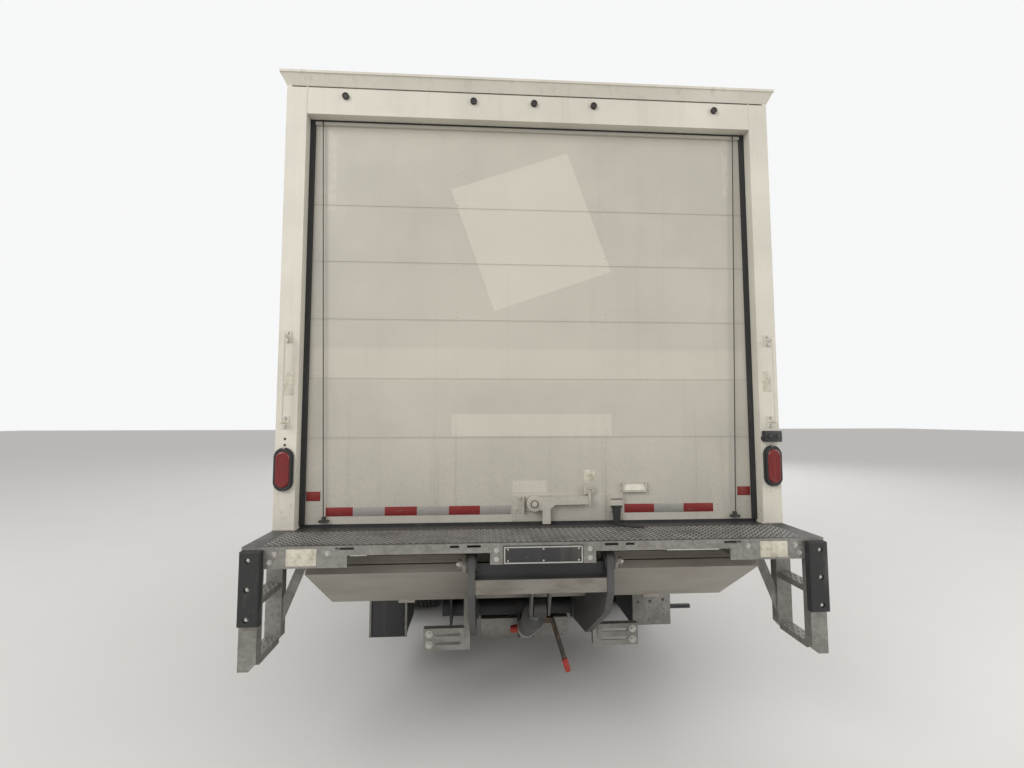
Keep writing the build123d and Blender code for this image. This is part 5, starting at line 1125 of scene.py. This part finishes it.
class TRUCK_OT_lift_fasteners(bpy.types.Operator):
    """Pins, bolts, hydraulic fittings, guard beam and box faces of the tail lift"""

    bl_idname = "truck.lift_fasteners"
    bl_label = "Lift fasteners"

    # Distance ahead of the posts' face and drop below the load floor
    HINGE = (-0.172, 0.112)
    PIVOT = (0.620, 0.600)
    CYLINDER_BASE = (0.590, 0.720)
    CYLINDER_EYE = (-0.120, 0.330)
    BOX_FACE = 0.650

    def execute(self, context):
        self._arms()
        self._cylinder()
        self._mount()
        self._boxes()
        return {"FINISHED"}

    def _arms(self):
        pins = Piece("lift_pins")
        ahead, drop = self.PIVOT
        for side in BOTH:
            pins.bolts([under(side * 0.352, *self.HINGE)], OUT[side], 0.013)
            inner, outer = under(side * 0.327, *self.PIVOT), under(side * 0.333, *self.PIVOT)
            pins.drum(inner, outer, 0.058, 0.055, 32, 0.001)
            ring = [under(side * 0.327, ahead + 0.056 * math.cos(angle), drop - 0.056 * math.sin(angle))
                    for angle in ring_angles(6)]
            pins.bolts(ring, OUT[side], 0.005)
        pins.done("fitting_steel", "lift_arms")

        cradles = Piece("cradle_bolts")
        tabs = Piece("platform_edge_tabs")
        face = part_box("lift_cradles")[0].y
        for side in BOTH:
            for drop in (0.567, 0.619):
                spot = Vector((side * 0.520, face, LOAD_FLOOR - drop))
                cradles.drum(spot, spot + BEHIND * 0.003, 0.0190, sides=28)
                cradles.bolts([spot + BEHIND * 0.003], BEHIND, 0.0115)
            tabs.beside(side, 0.600, 0.684, (POST_FACE + 0.258, POST_FACE + 0.270),
                        (LOAD_FLOOR - 0.432, LOAD_FLOOR - 0.402), 0.002)
            tabs.domes([under(side * x, 0.258, 0.417) for x in (0.618, 0.666)], BEHIND, 0.005, 0.003)
        cradles.done("fitting_steel", "lift_arms")
        tabs.done("platform_steel", "lift_arms")

    def _cylinder(self):
        base = under(0, *self.CYLINDER_BASE)
        along = (under(0, *self.CYLINDER_EYE) - base).normalized()
        across = OUT[1].cross(along)
        fittings = Piece("cylinder_fittings")
        fittings.drum(base + along * 0.074, base + along * 0.150, 0.0560, 0.0535, 40, 0.004)
        for distance in (0.178, 0.470):
            foot = base + along * distance - across * 0.050
            fittings.drum(foot, foot - across * 0.022, 0.013, sides=6, soft=0.001)
            fittings.drum(foot - across * 0.020, foot - across * 0.034, 0.009, sides=16)
        fittings.done("fitting_steel", "lift_barrel")

        caps = Piece("cylinder_red_caps")
        port = base + along * 0.112 + Vector((-0.054, 0, -0.010))
        caps.drum(port, port + OUT[-1] * 0.040, 0.022, 0.019, 20, 0.003)
        grip = under(0.181, 0.300, 0.752)
        caps.drum(grip, under(0.202, 0.300, 0.818), 0.0165, 0.0150, 16, 0.003)
        caps.done("red_cap", "lift_barrel")

        lever = Piece("cylinder_valve_lever")
        lever.block(under(0.047, 0.286, 0.566), under(0.122, 0.314, 0.536), 0.003)
        lever.drum(under(0.114, 0.300, 0.540), grip, 0.0125, sides=4)
        lever.done("dark_bolt_and_shade", "lift_barrel")

    def _mount(self):
        beam = Piece("lift_guard_beam")
        beam.block(under(-0.262, 0.640, 0.786), under(0.262, 0.700, 0.676), 0.006)
        beam.done("galvanised")
        mount = Piece("lift_mount_bolts")
        for side in BOTH:
            spots = [under(side * 0.4395, ahead, drop) for ahead in (0.52, 0.60, 0.68, 0.76)
                     for drop in (0.225, 0.330)]
            mount.bolts(spots, OUT[side], 0.010)
        mount.done("dark_bolt_and_shade")

    def _boxes(self):
        face = self.BOX_FACE
        battery = Piece("battery_box_lid")
        battery.block(under(-0.896, face - 0.003, 0.760), under(-0.721, face, 0.335), 0.0015)
        battery.done("chassis_black")

        panel = Piece("power_box_plate")
        panel.block(under(0.662, face - 0.004, 0.740), under(0.897, face, 0.535), 0.002)
        for x in (-0.911, -0.703):
            panel.block(under(x - 0.006, face - 0.006, 0.771), under(x + 0.006, face, 0.322), 0.001)
        heads = ((0.761, 0.719), (0.821, 0.709), (0.851, 0.687), (0.886, 0.683), (0.886, 0.724))
        panel.domes([under(x, face - 0.004, drop) for x, drop in heads], BEHIND, 0.0065, 0.0035, 10)
        panel.done("galvanised")

        holes = Piece("power_box_holes")
        # Dark discs in the box's holes: painted shade inside them
        for x, drop in ((0.695, 0.605), (0.769, 0.602), (0.850, 0.594)):
            holes.drum(under(x, face - 0.0046, drop), under(x, face - 0.003, drop), 0.009, sides=16)
        holes.done("dark_bolt_and_shade")


class TRUCK_OT_tyres(bpy.types.Operator):
    """Tyres with grooved treads, shoulder blocks and ribbed walls in place of the plain ones"""

    bl_idname = "truck.tyres"
    bl_label = "Tyres"

    BLOCKS = 52
    BLOCK_SHARE = 0.36

    def execute(self, context):
        for name, side in SIDES:
            self._build("tyre_front_" + name, "wheel_front_" + name, [side * 0.850])
            self._build("tyres_rear_" + name, "wheels_rear_" + name, [side * 0.6925, side * 0.9575])
        return {"FINISHED"}

    def _build(self, node, body, middles):
        low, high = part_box(node)
        axle = (low + high) / 2
        radius = (high.z - low.z) / 2
        floor = radius - sizes().groove_depth
        crown = radius - 0.0012
        # Distance from the tyre's middle and radius, from the bead out to the shoulder
        wall = [(0.077, 0.252), (0.077, 0.266), (0.0865, 0.272), (0.0975, 0.290), (0.1055, 0.312),
                (0.1085, 0.3125), (0.1085, 0.3165), (0.1068, 0.3175), (0.1105, 0.335), (0.1125, 0.345),
                (0.1115, 0.3555), (0.1095, 0.3565), (0.1082, 0.366), (0.1035, 0.376), (0.0990, 0.3835),
                (0.0945, floor - 0.004), (0.074, floor)]
        profile = [(-x, r) for x, r in wall]
        for start, end in ((-0.060, -0.034), (-0.024, -0.006), (0.006, 0.024), (0.034, 0.060)):
            profile += [(start, floor), (start + 0.0015, crown), (end - 0.0015, crown), (end, floor)]
        profile += [*reversed(wall), (-0.077, 0.252)]
        piece = Piece(node + "_dressed")
        for middle in middles:
            centre = Vector((middle, axle.y, axle.z))
            piece.turned(profile, centre, 72)
            for side in BOTH:
                self._shoulder(piece, centre, side, radius, floor)
        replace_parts(piece.done("tyre", body), node)

    def _shoulder(self, piece, centre, side, radius, floor):
        """Blocks round one shoulder, each lofted between two turned outlines."""
        outline = [(0.0675, floor - 0.004), (0.0685, radius - 0.0015), (0.0800, radius - 0.0035),
                   (0.0930, radius - 0.0140), (0.1010, radius - 0.0270), (0.0930, floor - 0.020)]
        half_turn = self.BLOCK_SHARE * 360 / self.BLOCKS
        rings = []
        for turn in (about_x(-half_turn), about_x(half_turn)):
            rings.append([piece.mesh.verts.new(centre + turn @ Vector((side * x, 0, r))) for x, r in outline])
        faces = [piece.mesh.faces.new(rings[0]), piece.mesh.faces.new(rings[1][::-1])]
        for number in range(len(outline)):
            faces.append(piece.mesh.faces.new((rings[0][number], rings[0][number - 1], rings[1][number - 1],
                                               rings[1][number])))
        verts = rings[0] + rings[1]
        bmesh.ops.spin(piece.mesh, geom=verts + edges_of(verts) + faces, steps=self.BLOCKS - 1,
                       axis=(1, 0, 0), angle=2 * math.pi * (self.BLOCKS - 1) / self.BLOCKS, cent=centre,
                       use_duplicate=True)


class TRUCK_OT_wheel_nuts(bpy.types.Operator):
    """Wheel nuts, studs, hub caps and flange bolts"""

    bl_idname = "truck.wheel_nuts"
    bl_label = "Wheel nuts"

    # Piece, body, place of the disc and of the hub's end, length and radius of the cap and of its nose,
    # circle of the cap's bolts
    HUBS = (("front_wheel_nuts_", "wheel_front_", 0.922, 0.980, 0.012, 0.080, 0.014, 0.046, 0.064),
            ("rear_wheel_nuts_", "wheels_rear_", 0.8475, 1.020, 0.010, 0.090, 0.012, 0.050, 0.072))

    def execute(self, context):
        for name, side in SIDES:
            for piece, body, disc, end, cap, cap_radius, nose, nose_radius, circle in self.HUBS:
                axle = Vector((0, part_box(body + name)[0].y + RIM_HALF, AXLE_HEIGHT))
                out = OUT[side]
                nuts = Piece(piece + name)
                for spot in self._circle(axle + out * disc, sizes().nut_circle, 0.5):
                    nuts.drum(spot, spot + out * 0.004, 0.0185, sides=20)
                    nuts.drum(spot + out * 0.004, spot + out * 0.026, 0.0165, 0.0155, 6, 0.001)
                    nuts.drum(spot + out * 0.024, spot + out * 0.040, 0.0085, 0.0080, 12)
                foot, face = axle + out * end, axle + out * (end + cap)
                nuts.drum(foot, face, cap_radius, cap_radius - 0.004, 32, 0.002)
                nuts.drum(face, face + out * nose, nose_radius, nose_radius - 0.004, 24, 0.003)
                nuts.bolts(self._circle(face - out * 0.001, circle, 0.0), out, 0.0065)
                nuts.done("fitting_steel", body + name)
        return {"FINISHED"}

    def _circle(self, middle, radius, start):
        return [middle + Vector((0, radius * math.cos(angle), radius * math.sin(angle)))
                for angle in ring_angles(8, start)]


class TRUCK_OT_cab_trim(bpy.types.Operator):
    """Door handles, window gaskets, wipers, lamps and mirror faces of the cab"""

    bl_idname = "truck.cab_trim"
    bl_label = "Cab trim"

    SHOULDER, ROOF_EDGE = 1.350, 2.120
    SIDE_HALF, SIDE_TAPER = 0.997, 0.062
    SCREEN_FOOT, SCREEN_RISE, SCREEN_LEAN = 1.385, 0.735, 0.380
    SCREEN_OUT = Vector((0, 0.8885, 0.4594))

    def execute(self, context):
        for name, side in SIDES:
            self._door(name, side)
        self._wipers()
        self._lamps()
        self._mirrors()
        return {"FINISHED"}

    def _on_side(self, side, y, z, proud):
        """Point on the cab's side, which leans in above its shoulder."""
        lean = self.SIDE_TAPER * max(0.0, z - self.SHOULDER) / (self.ROOF_EDGE - self.SHOULDER)
        return Vector((side * (self.SIDE_HALF - lean + proud), CAB_NOSE + y, z))

    def _on_screen(self, x, z, proud):
        """Point on the windscreen's slope, a little proud of the cab's outer form."""
        y = CAB_NOSE - 0.030 - (z - self.SCREEN_FOOT) * self.SCREEN_LEAN / self.SCREEN_RISE
        return Vector((x, y, z)) + self.SCREEN_OUT * proud

    def _grown(self, corners, grow):
        """Outline moved out from its middle by an even amount, corner by corner."""
        middle_a = sum(a for a, b in corners) / len(corners)
        middle_b = sum(b for a, b in corners) / len(corners)
        return [(a + math.copysign(grow, a - middle_a), b + math.copysign(grow, b - middle_b))
                for a, b in corners]

    def _door(self, name, side):
        body = "cab_door_" + name
        handle = Piece("door_handle_" + name)
        y = CAB_NOSE - 1.215
        handle.beside(side, 0.9965, 0.9995, (y, y + 0.150), (1.235, 1.310), 0.0012)
        handle.beside(side, 0.9990, 1.0180, (y + 0.012, y + 0.138), (1.262, 1.288), 0.005)
        handle.drum((side * 0.9985, y + 0.075, 1.222), (side * 1.0035, y + 0.075, 1.222), 0.011,
                    sides=20, soft=0.001)
        handle.done("black_plastic", body)

        gasket = Piece("door_window_gasket_" + name)
        corners = [(-0.400, 1.405), (-0.400, 1.815), (-0.500, 2.015), (-1.215, 2.015), (-1.215, 1.405)]
        outer, inner = [[self._on_side(side, y, z, -0.004) for y, z in self._grown(corners, grow)]
                        for grow in (0.016, -0.012)]
        gasket.frame(outer, inner, OUT[side] * 0.008)
        gasket.done("rubber", body)

        bead = Piece("door_belt_bead_" + name)
        bead.beside(side, 0.996, 1.001, (CAB_NOSE - 1.27, CAB_NOSE - 0.36), (1.120, 1.132), 0.0018)
        bead.done("cab_paint", body)

    def _wipers(self):
        out = self.SCREEN_OUT
        reach = 0.50
        wipers = Piece("wipers")
        for x in (-0.52, 0.16):
            foot = self._on_screen(x, 1.405, 0.004)
            elbow = self._on_screen(x + reach * 0.62, 1.475, 0.024)
            start = self._on_screen(x + reach * 0.15, 1.452, -0.004)
            end = self._on_screen(x + reach * 1.18, 1.500, -0.004)
            wipers.drum(foot, foot + out * 0.030, 0.017, 0.013, 20, 0.002)
            wipers.drum(foot + out * 0.022, elbow, 0.007, 0.004, 10)
            wipers.drum(start, end, 0.0055, sides=8)
            wipers.drum(start + out * 0.008, end + out * 0.008, 0.003, sides=8)
            wipers.drum((start + end) / 2, elbow, 0.004, sides=8)
        wipers.done("black_plastic", "cab")

        gasket = Piece("screen_gasket")
        corners = [(-0.870, 1.430), (0.870, 1.430), (0.815, 2.075), (-0.815, 2.075)]
        outer, inner = [[self._on_screen(x, z, -0.006) for x, z in self._grown(corners, grow)]
                        for grow in (0.018, -0.016)]
        gasket.frame(outer, inner, out * 0.010)
        gasket.done("rubber", "cab")

    def _lamps(self):
        roof = Piece("roof_marker_lamps")
        for x in (-0.78, -0.16, 0.0, 0.16, 0.78):
            roof.block((x - 0.045, CAB_NOSE - 0.555, 2.185), (x + 0.045, CAB_NOSE - 0.470, 2.205),
                       0.008, about_x(-29))
        roof.done("lens_amber", "cab")

        turn = Piece("corner_indicators")
        turn.pair(0.990, 1.003, (CAB_NOSE - 0.300, CAB_NOSE - 0.215), (1.145, 1.185), 0.005)
        turn.done("lens_amber", "cab")

    def _mirrors(self):
        faces = Piece("mirror_faces")
        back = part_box("mirrors")[0].y
        for foot, top in ((1.640, 1.880), (1.520, 1.625)):
            faces.pair(1.105, 1.255, (back - 0.0015, back + 0.002), (foot, top), 0.001)
        faces.done("mirror_glass", "cab")


class TRUCK_OT_seats(bpy.types.Operator):
    """Seats with crowned, sewn cushions in place of the plain ones"""

    bl_idname = "truck.seats"
    bl_label = "Seats"

    SEAT_NEAR, SEAT_FAR, MIDDLE_HALF = 0.370, 0.880, 0.300
    SEAT_TOP, BACK_FOOT, BACK_TOP = 1.260, 1.250, 1.860
    BASE_TOP = 1.130
    CUTS = 11

    def execute(self, context):
        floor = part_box("seats")[0].z
        cushions = Piece("seat_cushions")
        base = Piece("seat_bases")
        for side in BOTH:
            left, right = sorted((side * self.SEAT_NEAR, side * self.SEAT_FAR))
            self._pad(cushions, (left, -1.330, self.BASE_TOP), (right, -0.830, self.SEAT_TOP), 0)
            self._pad(cushions, (left, -1.345, self.BACK_FOOT), (right, -1.215, self.BACK_TOP), -10)
            base.block((left + 0.040, CAB_NOSE - 1.320, floor),
                       (right - 0.040, CAB_NOSE - 0.880, self.BASE_TOP), 0.012)
        self._pad(cushions, (-self.MIDDLE_HALF, -1.320, 1.0903), (self.MIDDLE_HALF, -0.840, 1.200), 0)
        base.done("black_plastic", "cab")
        made = cushions.done("seat_cloth", "cab")
        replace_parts(made, "seats")
        return {"FINISHED"}

    def _pad(self, piece, low, high, lean):
        """Crowned pad: a divided box whose middle swells and whose channels are drawn in."""
        size = Vector(high) - Vector(low)
        middle = (Vector(low) + Vector(high)) / 2 + AHEAD * CAB_NOSE
        made = bmesh.ops.create_cube(piece.mesh, size=1)["verts"]
        bmesh.ops.subdivide_edges(piece.mesh, edges=edges_of(made), cuts=self.CUTS, use_grid_fill=True)
        # Only the new pad is still round the origin
        verts = [vert for vert in piece.mesh.verts if max(abs(axis) for axis in vert.co) < 0.5001]
        turn = about_x(lean)
        flat = min(range(3), key=lambda axis: size[axis])
        first, second = [axis for axis in range(3) if axis != flat]
        for vert in verts:
            u, v = vert.co[first] * 2, vert.co[second] * 2
            channel = 0.10 if abs(abs(u) - 0.5) < 0.06 else 0.0
            vert.co[flat] *= 0.72 + 0.28 * (1 - u ** 4) * (1 - v ** 4) - channel
            if abs(v) > 0.99:
                vert.co[second] *= 1 - 0.035 * (1 - abs(u))
            vert.co = middle + turn @ (vert.co * size)
        bmesh.ops.smooth_vert(piece.mesh, verts=verts, factor=0.5, use_axis_x=True, use_axis_y=True,
                              use_axis_z=True)


class TRUCK_OT_dashboard(bpy.types.Operator):
    """Instrument hood, middle panel, vents, gear lever and pedals"""

    bl_idname = "truck.dashboard"
    bl_label = "Dashboard"

    def execute(self, context):
        trim = Piece("dashboard_trim")
        face = CAB_NOSE - 0.40
        trim.block((-0.86, face - 0.045, 1.310), (-0.40, face + 0.13, 1.385), 0.020)
        trim.block((-0.22, face - 0.020, 1.180), (0.20, face + 0.02, 1.300), 0.012)
        for x in (-0.10, 0.10, 0.62, 0.80):
            trim.block((x - 0.055, face - 0.028, 1.235), (x + 0.055, face + 0.01, 1.285), 0.006)
        trim.drum((-0.36, CAB_NOSE - 0.62, 1.085), (-0.33, CAB_NOSE - 0.66, 1.330), 0.010, 0.008, 12)
        trim.domes([(-0.33, CAB_NOSE - 0.66, 1.345)], UP, 0.026, 0.030, 16)
        for x in (-0.74, -0.62, -0.52):
            trim.block((x - 0.025, CAB_NOSE - 0.33, 0.970), (x + 0.025, CAB_NOSE - 0.315, 1.040),
                       0.004, about_x(-35))
        trim.done("dash_plastic", "cab")
        return {"FINISHED"}


class TRUCK_OT_chassis_details(bpy.types.Operator):
    """U-bolts of the springs, tank cap and bands, battery lid and bumper lamps"""

    bl_idname = "truck.chassis_details"
    bl_label = "Chassis details"

    SPRING_X = 0.393

    def execute(self, context):
        self._springs()
        self._tank()
        self._battery()
        lamps = Piece("bumper_lamps")
        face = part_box("front_bumper")[1].y
        for side in BOTH:
            lamps.drum((side * 0.62, face - 0.060, 0.470), (side * 0.62, face - 0.020, 0.470),
                       0.052, 0.048, 32, 0.004)
        lamps.done("lens_clear")
        return {"FINISHED"}

    def _springs(self):
        bolts = Piece("spring_u_bolts")
        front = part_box("front_axle")[0].y + 0.042
        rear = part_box("wheels_rear_right")[0].y + RIM_HALF
        for side in BOTH:
            x = side * self.SPRING_X
            for axle, seat, foot in ((front, 0.405, 0.262), (rear, 0.520, 0.338)):
                for y in (axle - 0.055, axle + 0.055):
                    for leg in (x - 0.043, x + 0.043):
                        bolts.drum((leg, y, foot), (leg, y, seat), 0.008, sides=10)
                        bolts.drum((leg, y, foot - 0.012), (leg, y, foot + 0.004), 0.014, sides=6)
                    bolts.drum((x - 0.050, y, seat), (x + 0.050, y, seat), 0.008, sides=10)
                bolts.block((x - 0.055, axle - 0.075, foot - 0.006),
                            (x + 0.055, axle + 0.075, foot + 0.006), 0.003)
        bolts.done("dark_bolt_and_shade")

    def _tank(self):
        low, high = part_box("fuel_tank")
        tank = Piece("fuel_cap_and_bands")
        y = high.y - 0.20
        tank.drum((high.x - 0.075, y, high.z - 0.030), (high.x - 0.055, y, high.z + 0.010),
                  0.045, 0.042, 28, 0.004)
        for y in (low.y + 0.18, low.y + 0.70):
            tank.block((low.x + 0.04, y - 0.022, high.z - 0.042),
                       (high.x - 0.068, y + 0.022, high.z - 0.036), 0.001)
            tank.block((high.x - 0.001, y - 0.022, 0.470), (high.x + 0.004, y + 0.022, 0.710), 0.001)
        tank.done("fitting_steel")

    def _battery(self):
        low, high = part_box("battery_box")
        lid = Piece("battery_lid")
        lid.block((low.x - 0.004, low.y + 0.02, high.z - 0.07),
                  (low.x + 0.30, high.y - 0.02, high.z + 0.008), 0.008)
        for y in (low.y + 0.11, high.y - 0.11):
            lid.block((low.x - 0.010, y - 0.018, high.z - 0.13),
                      (low.x - 0.001, y + 0.018, high.z - 0.03), 0.003)
        lid.done("black_plastic")


class TRUCK_OT_stage(bpy.types.Operator):
    """Pale floor, soft studio light and the camera at the photograph's place"""

    bl_idname = "truck.stage"
    bl_label = "Stage"

    CAMERA_PLACE = (-0.2545, POST_FACE - 2.2894, 1.5772)
    YAW, PITCH, ROLL = 3.526, 4.077, -0.061
    LENS = 16.70
    FLOOR_TONE = (0.72, 0.715, 0.70)
    SKY_TONE = (0.93, 0.935, 0.94)
    AIR_TONE = (1.0, 0.985, 0.96)
    AIR_STRENGTH = 0.62
    # Name, place, aim, size and power
    LIGHTS = (("key_softbox", (-7.0, -9.5, 7.5), (0, -3.2, 1.8), 6.0, 620.0),
              ("fill_softbox", (8.0, -7.0, 5.0), (0, -2.5, 1.4), 6.0, 300.0),
              ("front_softbox", (4.0, 11.0, 7.0), (0, 1.5, 1.5), 7.0, 560.0))

    def execute(self, context):
        self._floor()
        self._world(context.scene)
        self._lights(context.scene)
        self._camera(context.scene)
        context.scene.view_settings.view_transform = "Standard"
        return {"FINISHED"}

    def _floor(self):
        piece = Piece("studio_floor")
        bmesh.ops.create_grid(piece.mesh, x_segments=2, y_segments=2, size=60)
        finish = Finish("studio_floor", roughness=0.9)
        finish.colour(finish.mix(finish.noise(1.5, 4), self.FLOOR_TONE, shade(self.FLOOR_TONE, 0.96)))
        piece.made(finish.material)

    def _world(self, scene):
        """Soft light from all round, with a paler sky for what looks at it directly."""
        world = bpy.data.worlds.new("studio_air")
        world.use_nodes = True
        scene.world = world
        nodes, links = world.node_tree.nodes, world.node_tree.links
        light = nodes["Background"]
        light.inputs["Color"].default_value = (*self.AIR_TONE, 1)
        light.inputs["Strength"].default_value = self.AIR_STRENGTH
        sky = nodes.new("ShaderNodeBackground")
        sky.inputs["Color"].default_value = (*self.SKY_TONE, 1)
        path = nodes.new("ShaderNodeLightPath")
        seen = path.outputs["Is Camera Ray"]
        for ray in ("Is Glossy Ray", "Is Transmission Ray"):
            either = nodes.new("ShaderNodeMath")
            either.operation = "MAXIMUM"
            links.new(seen, either.inputs[0])
            links.new(path.outputs[ray], either.inputs[1])
            seen = either.outputs[0]
        mixer = nodes.new("ShaderNodeMixShader")
        for number, socket in enumerate((seen, light.outputs[0], sky.outputs[0])):
            links.new(socket, mixer.inputs[number])
        links.new(mixer.outputs[0], nodes["World Output"].inputs["Surface"])

    def _lights(self, scene):
        for name, place, aim, size, power in self.LIGHTS:
            data = bpy.data.lights.new(name, "AREA")
            data.shape = "SQUARE"
            data.size = size
            data.energy = power
            lamp = bpy.data.objects.new(name, data)
            lamp.location = place
            lamp.rotation_mode = "QUATERNION"
            lamp.rotation_quaternion = (Vector(aim) - Vector(place)).to_track_quat("-Z", "Y")
            scene.collection.objects.link(lamp)

    def _camera(self, scene):
        yaw, pitch, roll = (math.radians(angle) for angle in (self.YAW, self.PITCH, self.ROLL))
        forward = Vector((math.sin(yaw) * math.cos(pitch), math.cos(yaw) * math.cos(pitch), math.sin(pitch)))
        right = Vector((math.cos(yaw), -math.sin(yaw), 0))
        turn = Matrix((right, right.cross(forward), -forward)).transposed() @ Matrix.Rotation(roll, 3, "Z")
        data = bpy.data.cameras.new("photo_camera")
        data.lens = self.LENS
        data.sensor_width = 36.0
        data.clip_start = 0.05
        camera = bpy.data.objects.new("photo_camera", data)
        camera.matrix_world = Matrix.Translation(self.CAMERA_PLACE) @ turn.to_4x4()
        scene.collection.objects.link(camera)
        scene.camera = camera


OPERATORS = (
    TRUCK_OT_finishes, TRUCK_OT_marking_tape, TRUCK_OT_door_hardware, TRUCK_OT_rear_frame_trim,
    TRUCK_OT_tail_lamp_rims, TRUCK_OT_deck_tread, TRUCK_OT_side_step_grips, TRUCK_OT_van_rivets,
    TRUCK_OT_lift_fasteners, TRUCK_OT_tyres, TRUCK_OT_wheel_nuts, TRUCK_OT_cab_trim, TRUCK_OT_seats,
    TRUCK_OT_dashboard, TRUCK_OT_chassis_details, TRUCK_OT_stage,
)


class TRUCK_PT_looks(bpy.types.Panel):
    """Sizes, colours and steps of the truck's looks"""

    bl_idname = "TRUCK_PT_looks"
    bl_label = "Box truck looks"
    bl_space_type = "VIEW_3D"
    bl_region_type = "UI"
    bl_category = "Truck"

    def draw(self, context):
        layout = self.layout
        for group in (context.scene.truck_sizes, context.scene.truck_colours):
            for name in group.__annotations__:
                layout.prop(group, name)
        for operator in OPERATORS:
            layout.operator(operator.bl_idname)


CLASSES = (TruckSizes, TruckColours, *OPERATORS, TRUCK_PT_looks)


def register():
    for each in CLASSES:
        bpy.utils.register_class(each)
    bpy.types.Scene.truck_sizes = bpy.props.PointerProperty(type=TruckSizes)
    bpy.types.Scene.truck_colours = bpy.props.PointerProperty(type=TruckColours)


def unregister():
    del bpy.types.Scene.truck_colours
    del bpy.types.Scene.truck_sizes
    for each in reversed(CLASSES):
        bpy.utils.unregister_class(each)


def main():
    register()
    for operator in OPERATORS:
        getattr(bpy.ops.truck, operator.bl_idname.split(".")[1])()


if __name__ == "__main__":
    main()
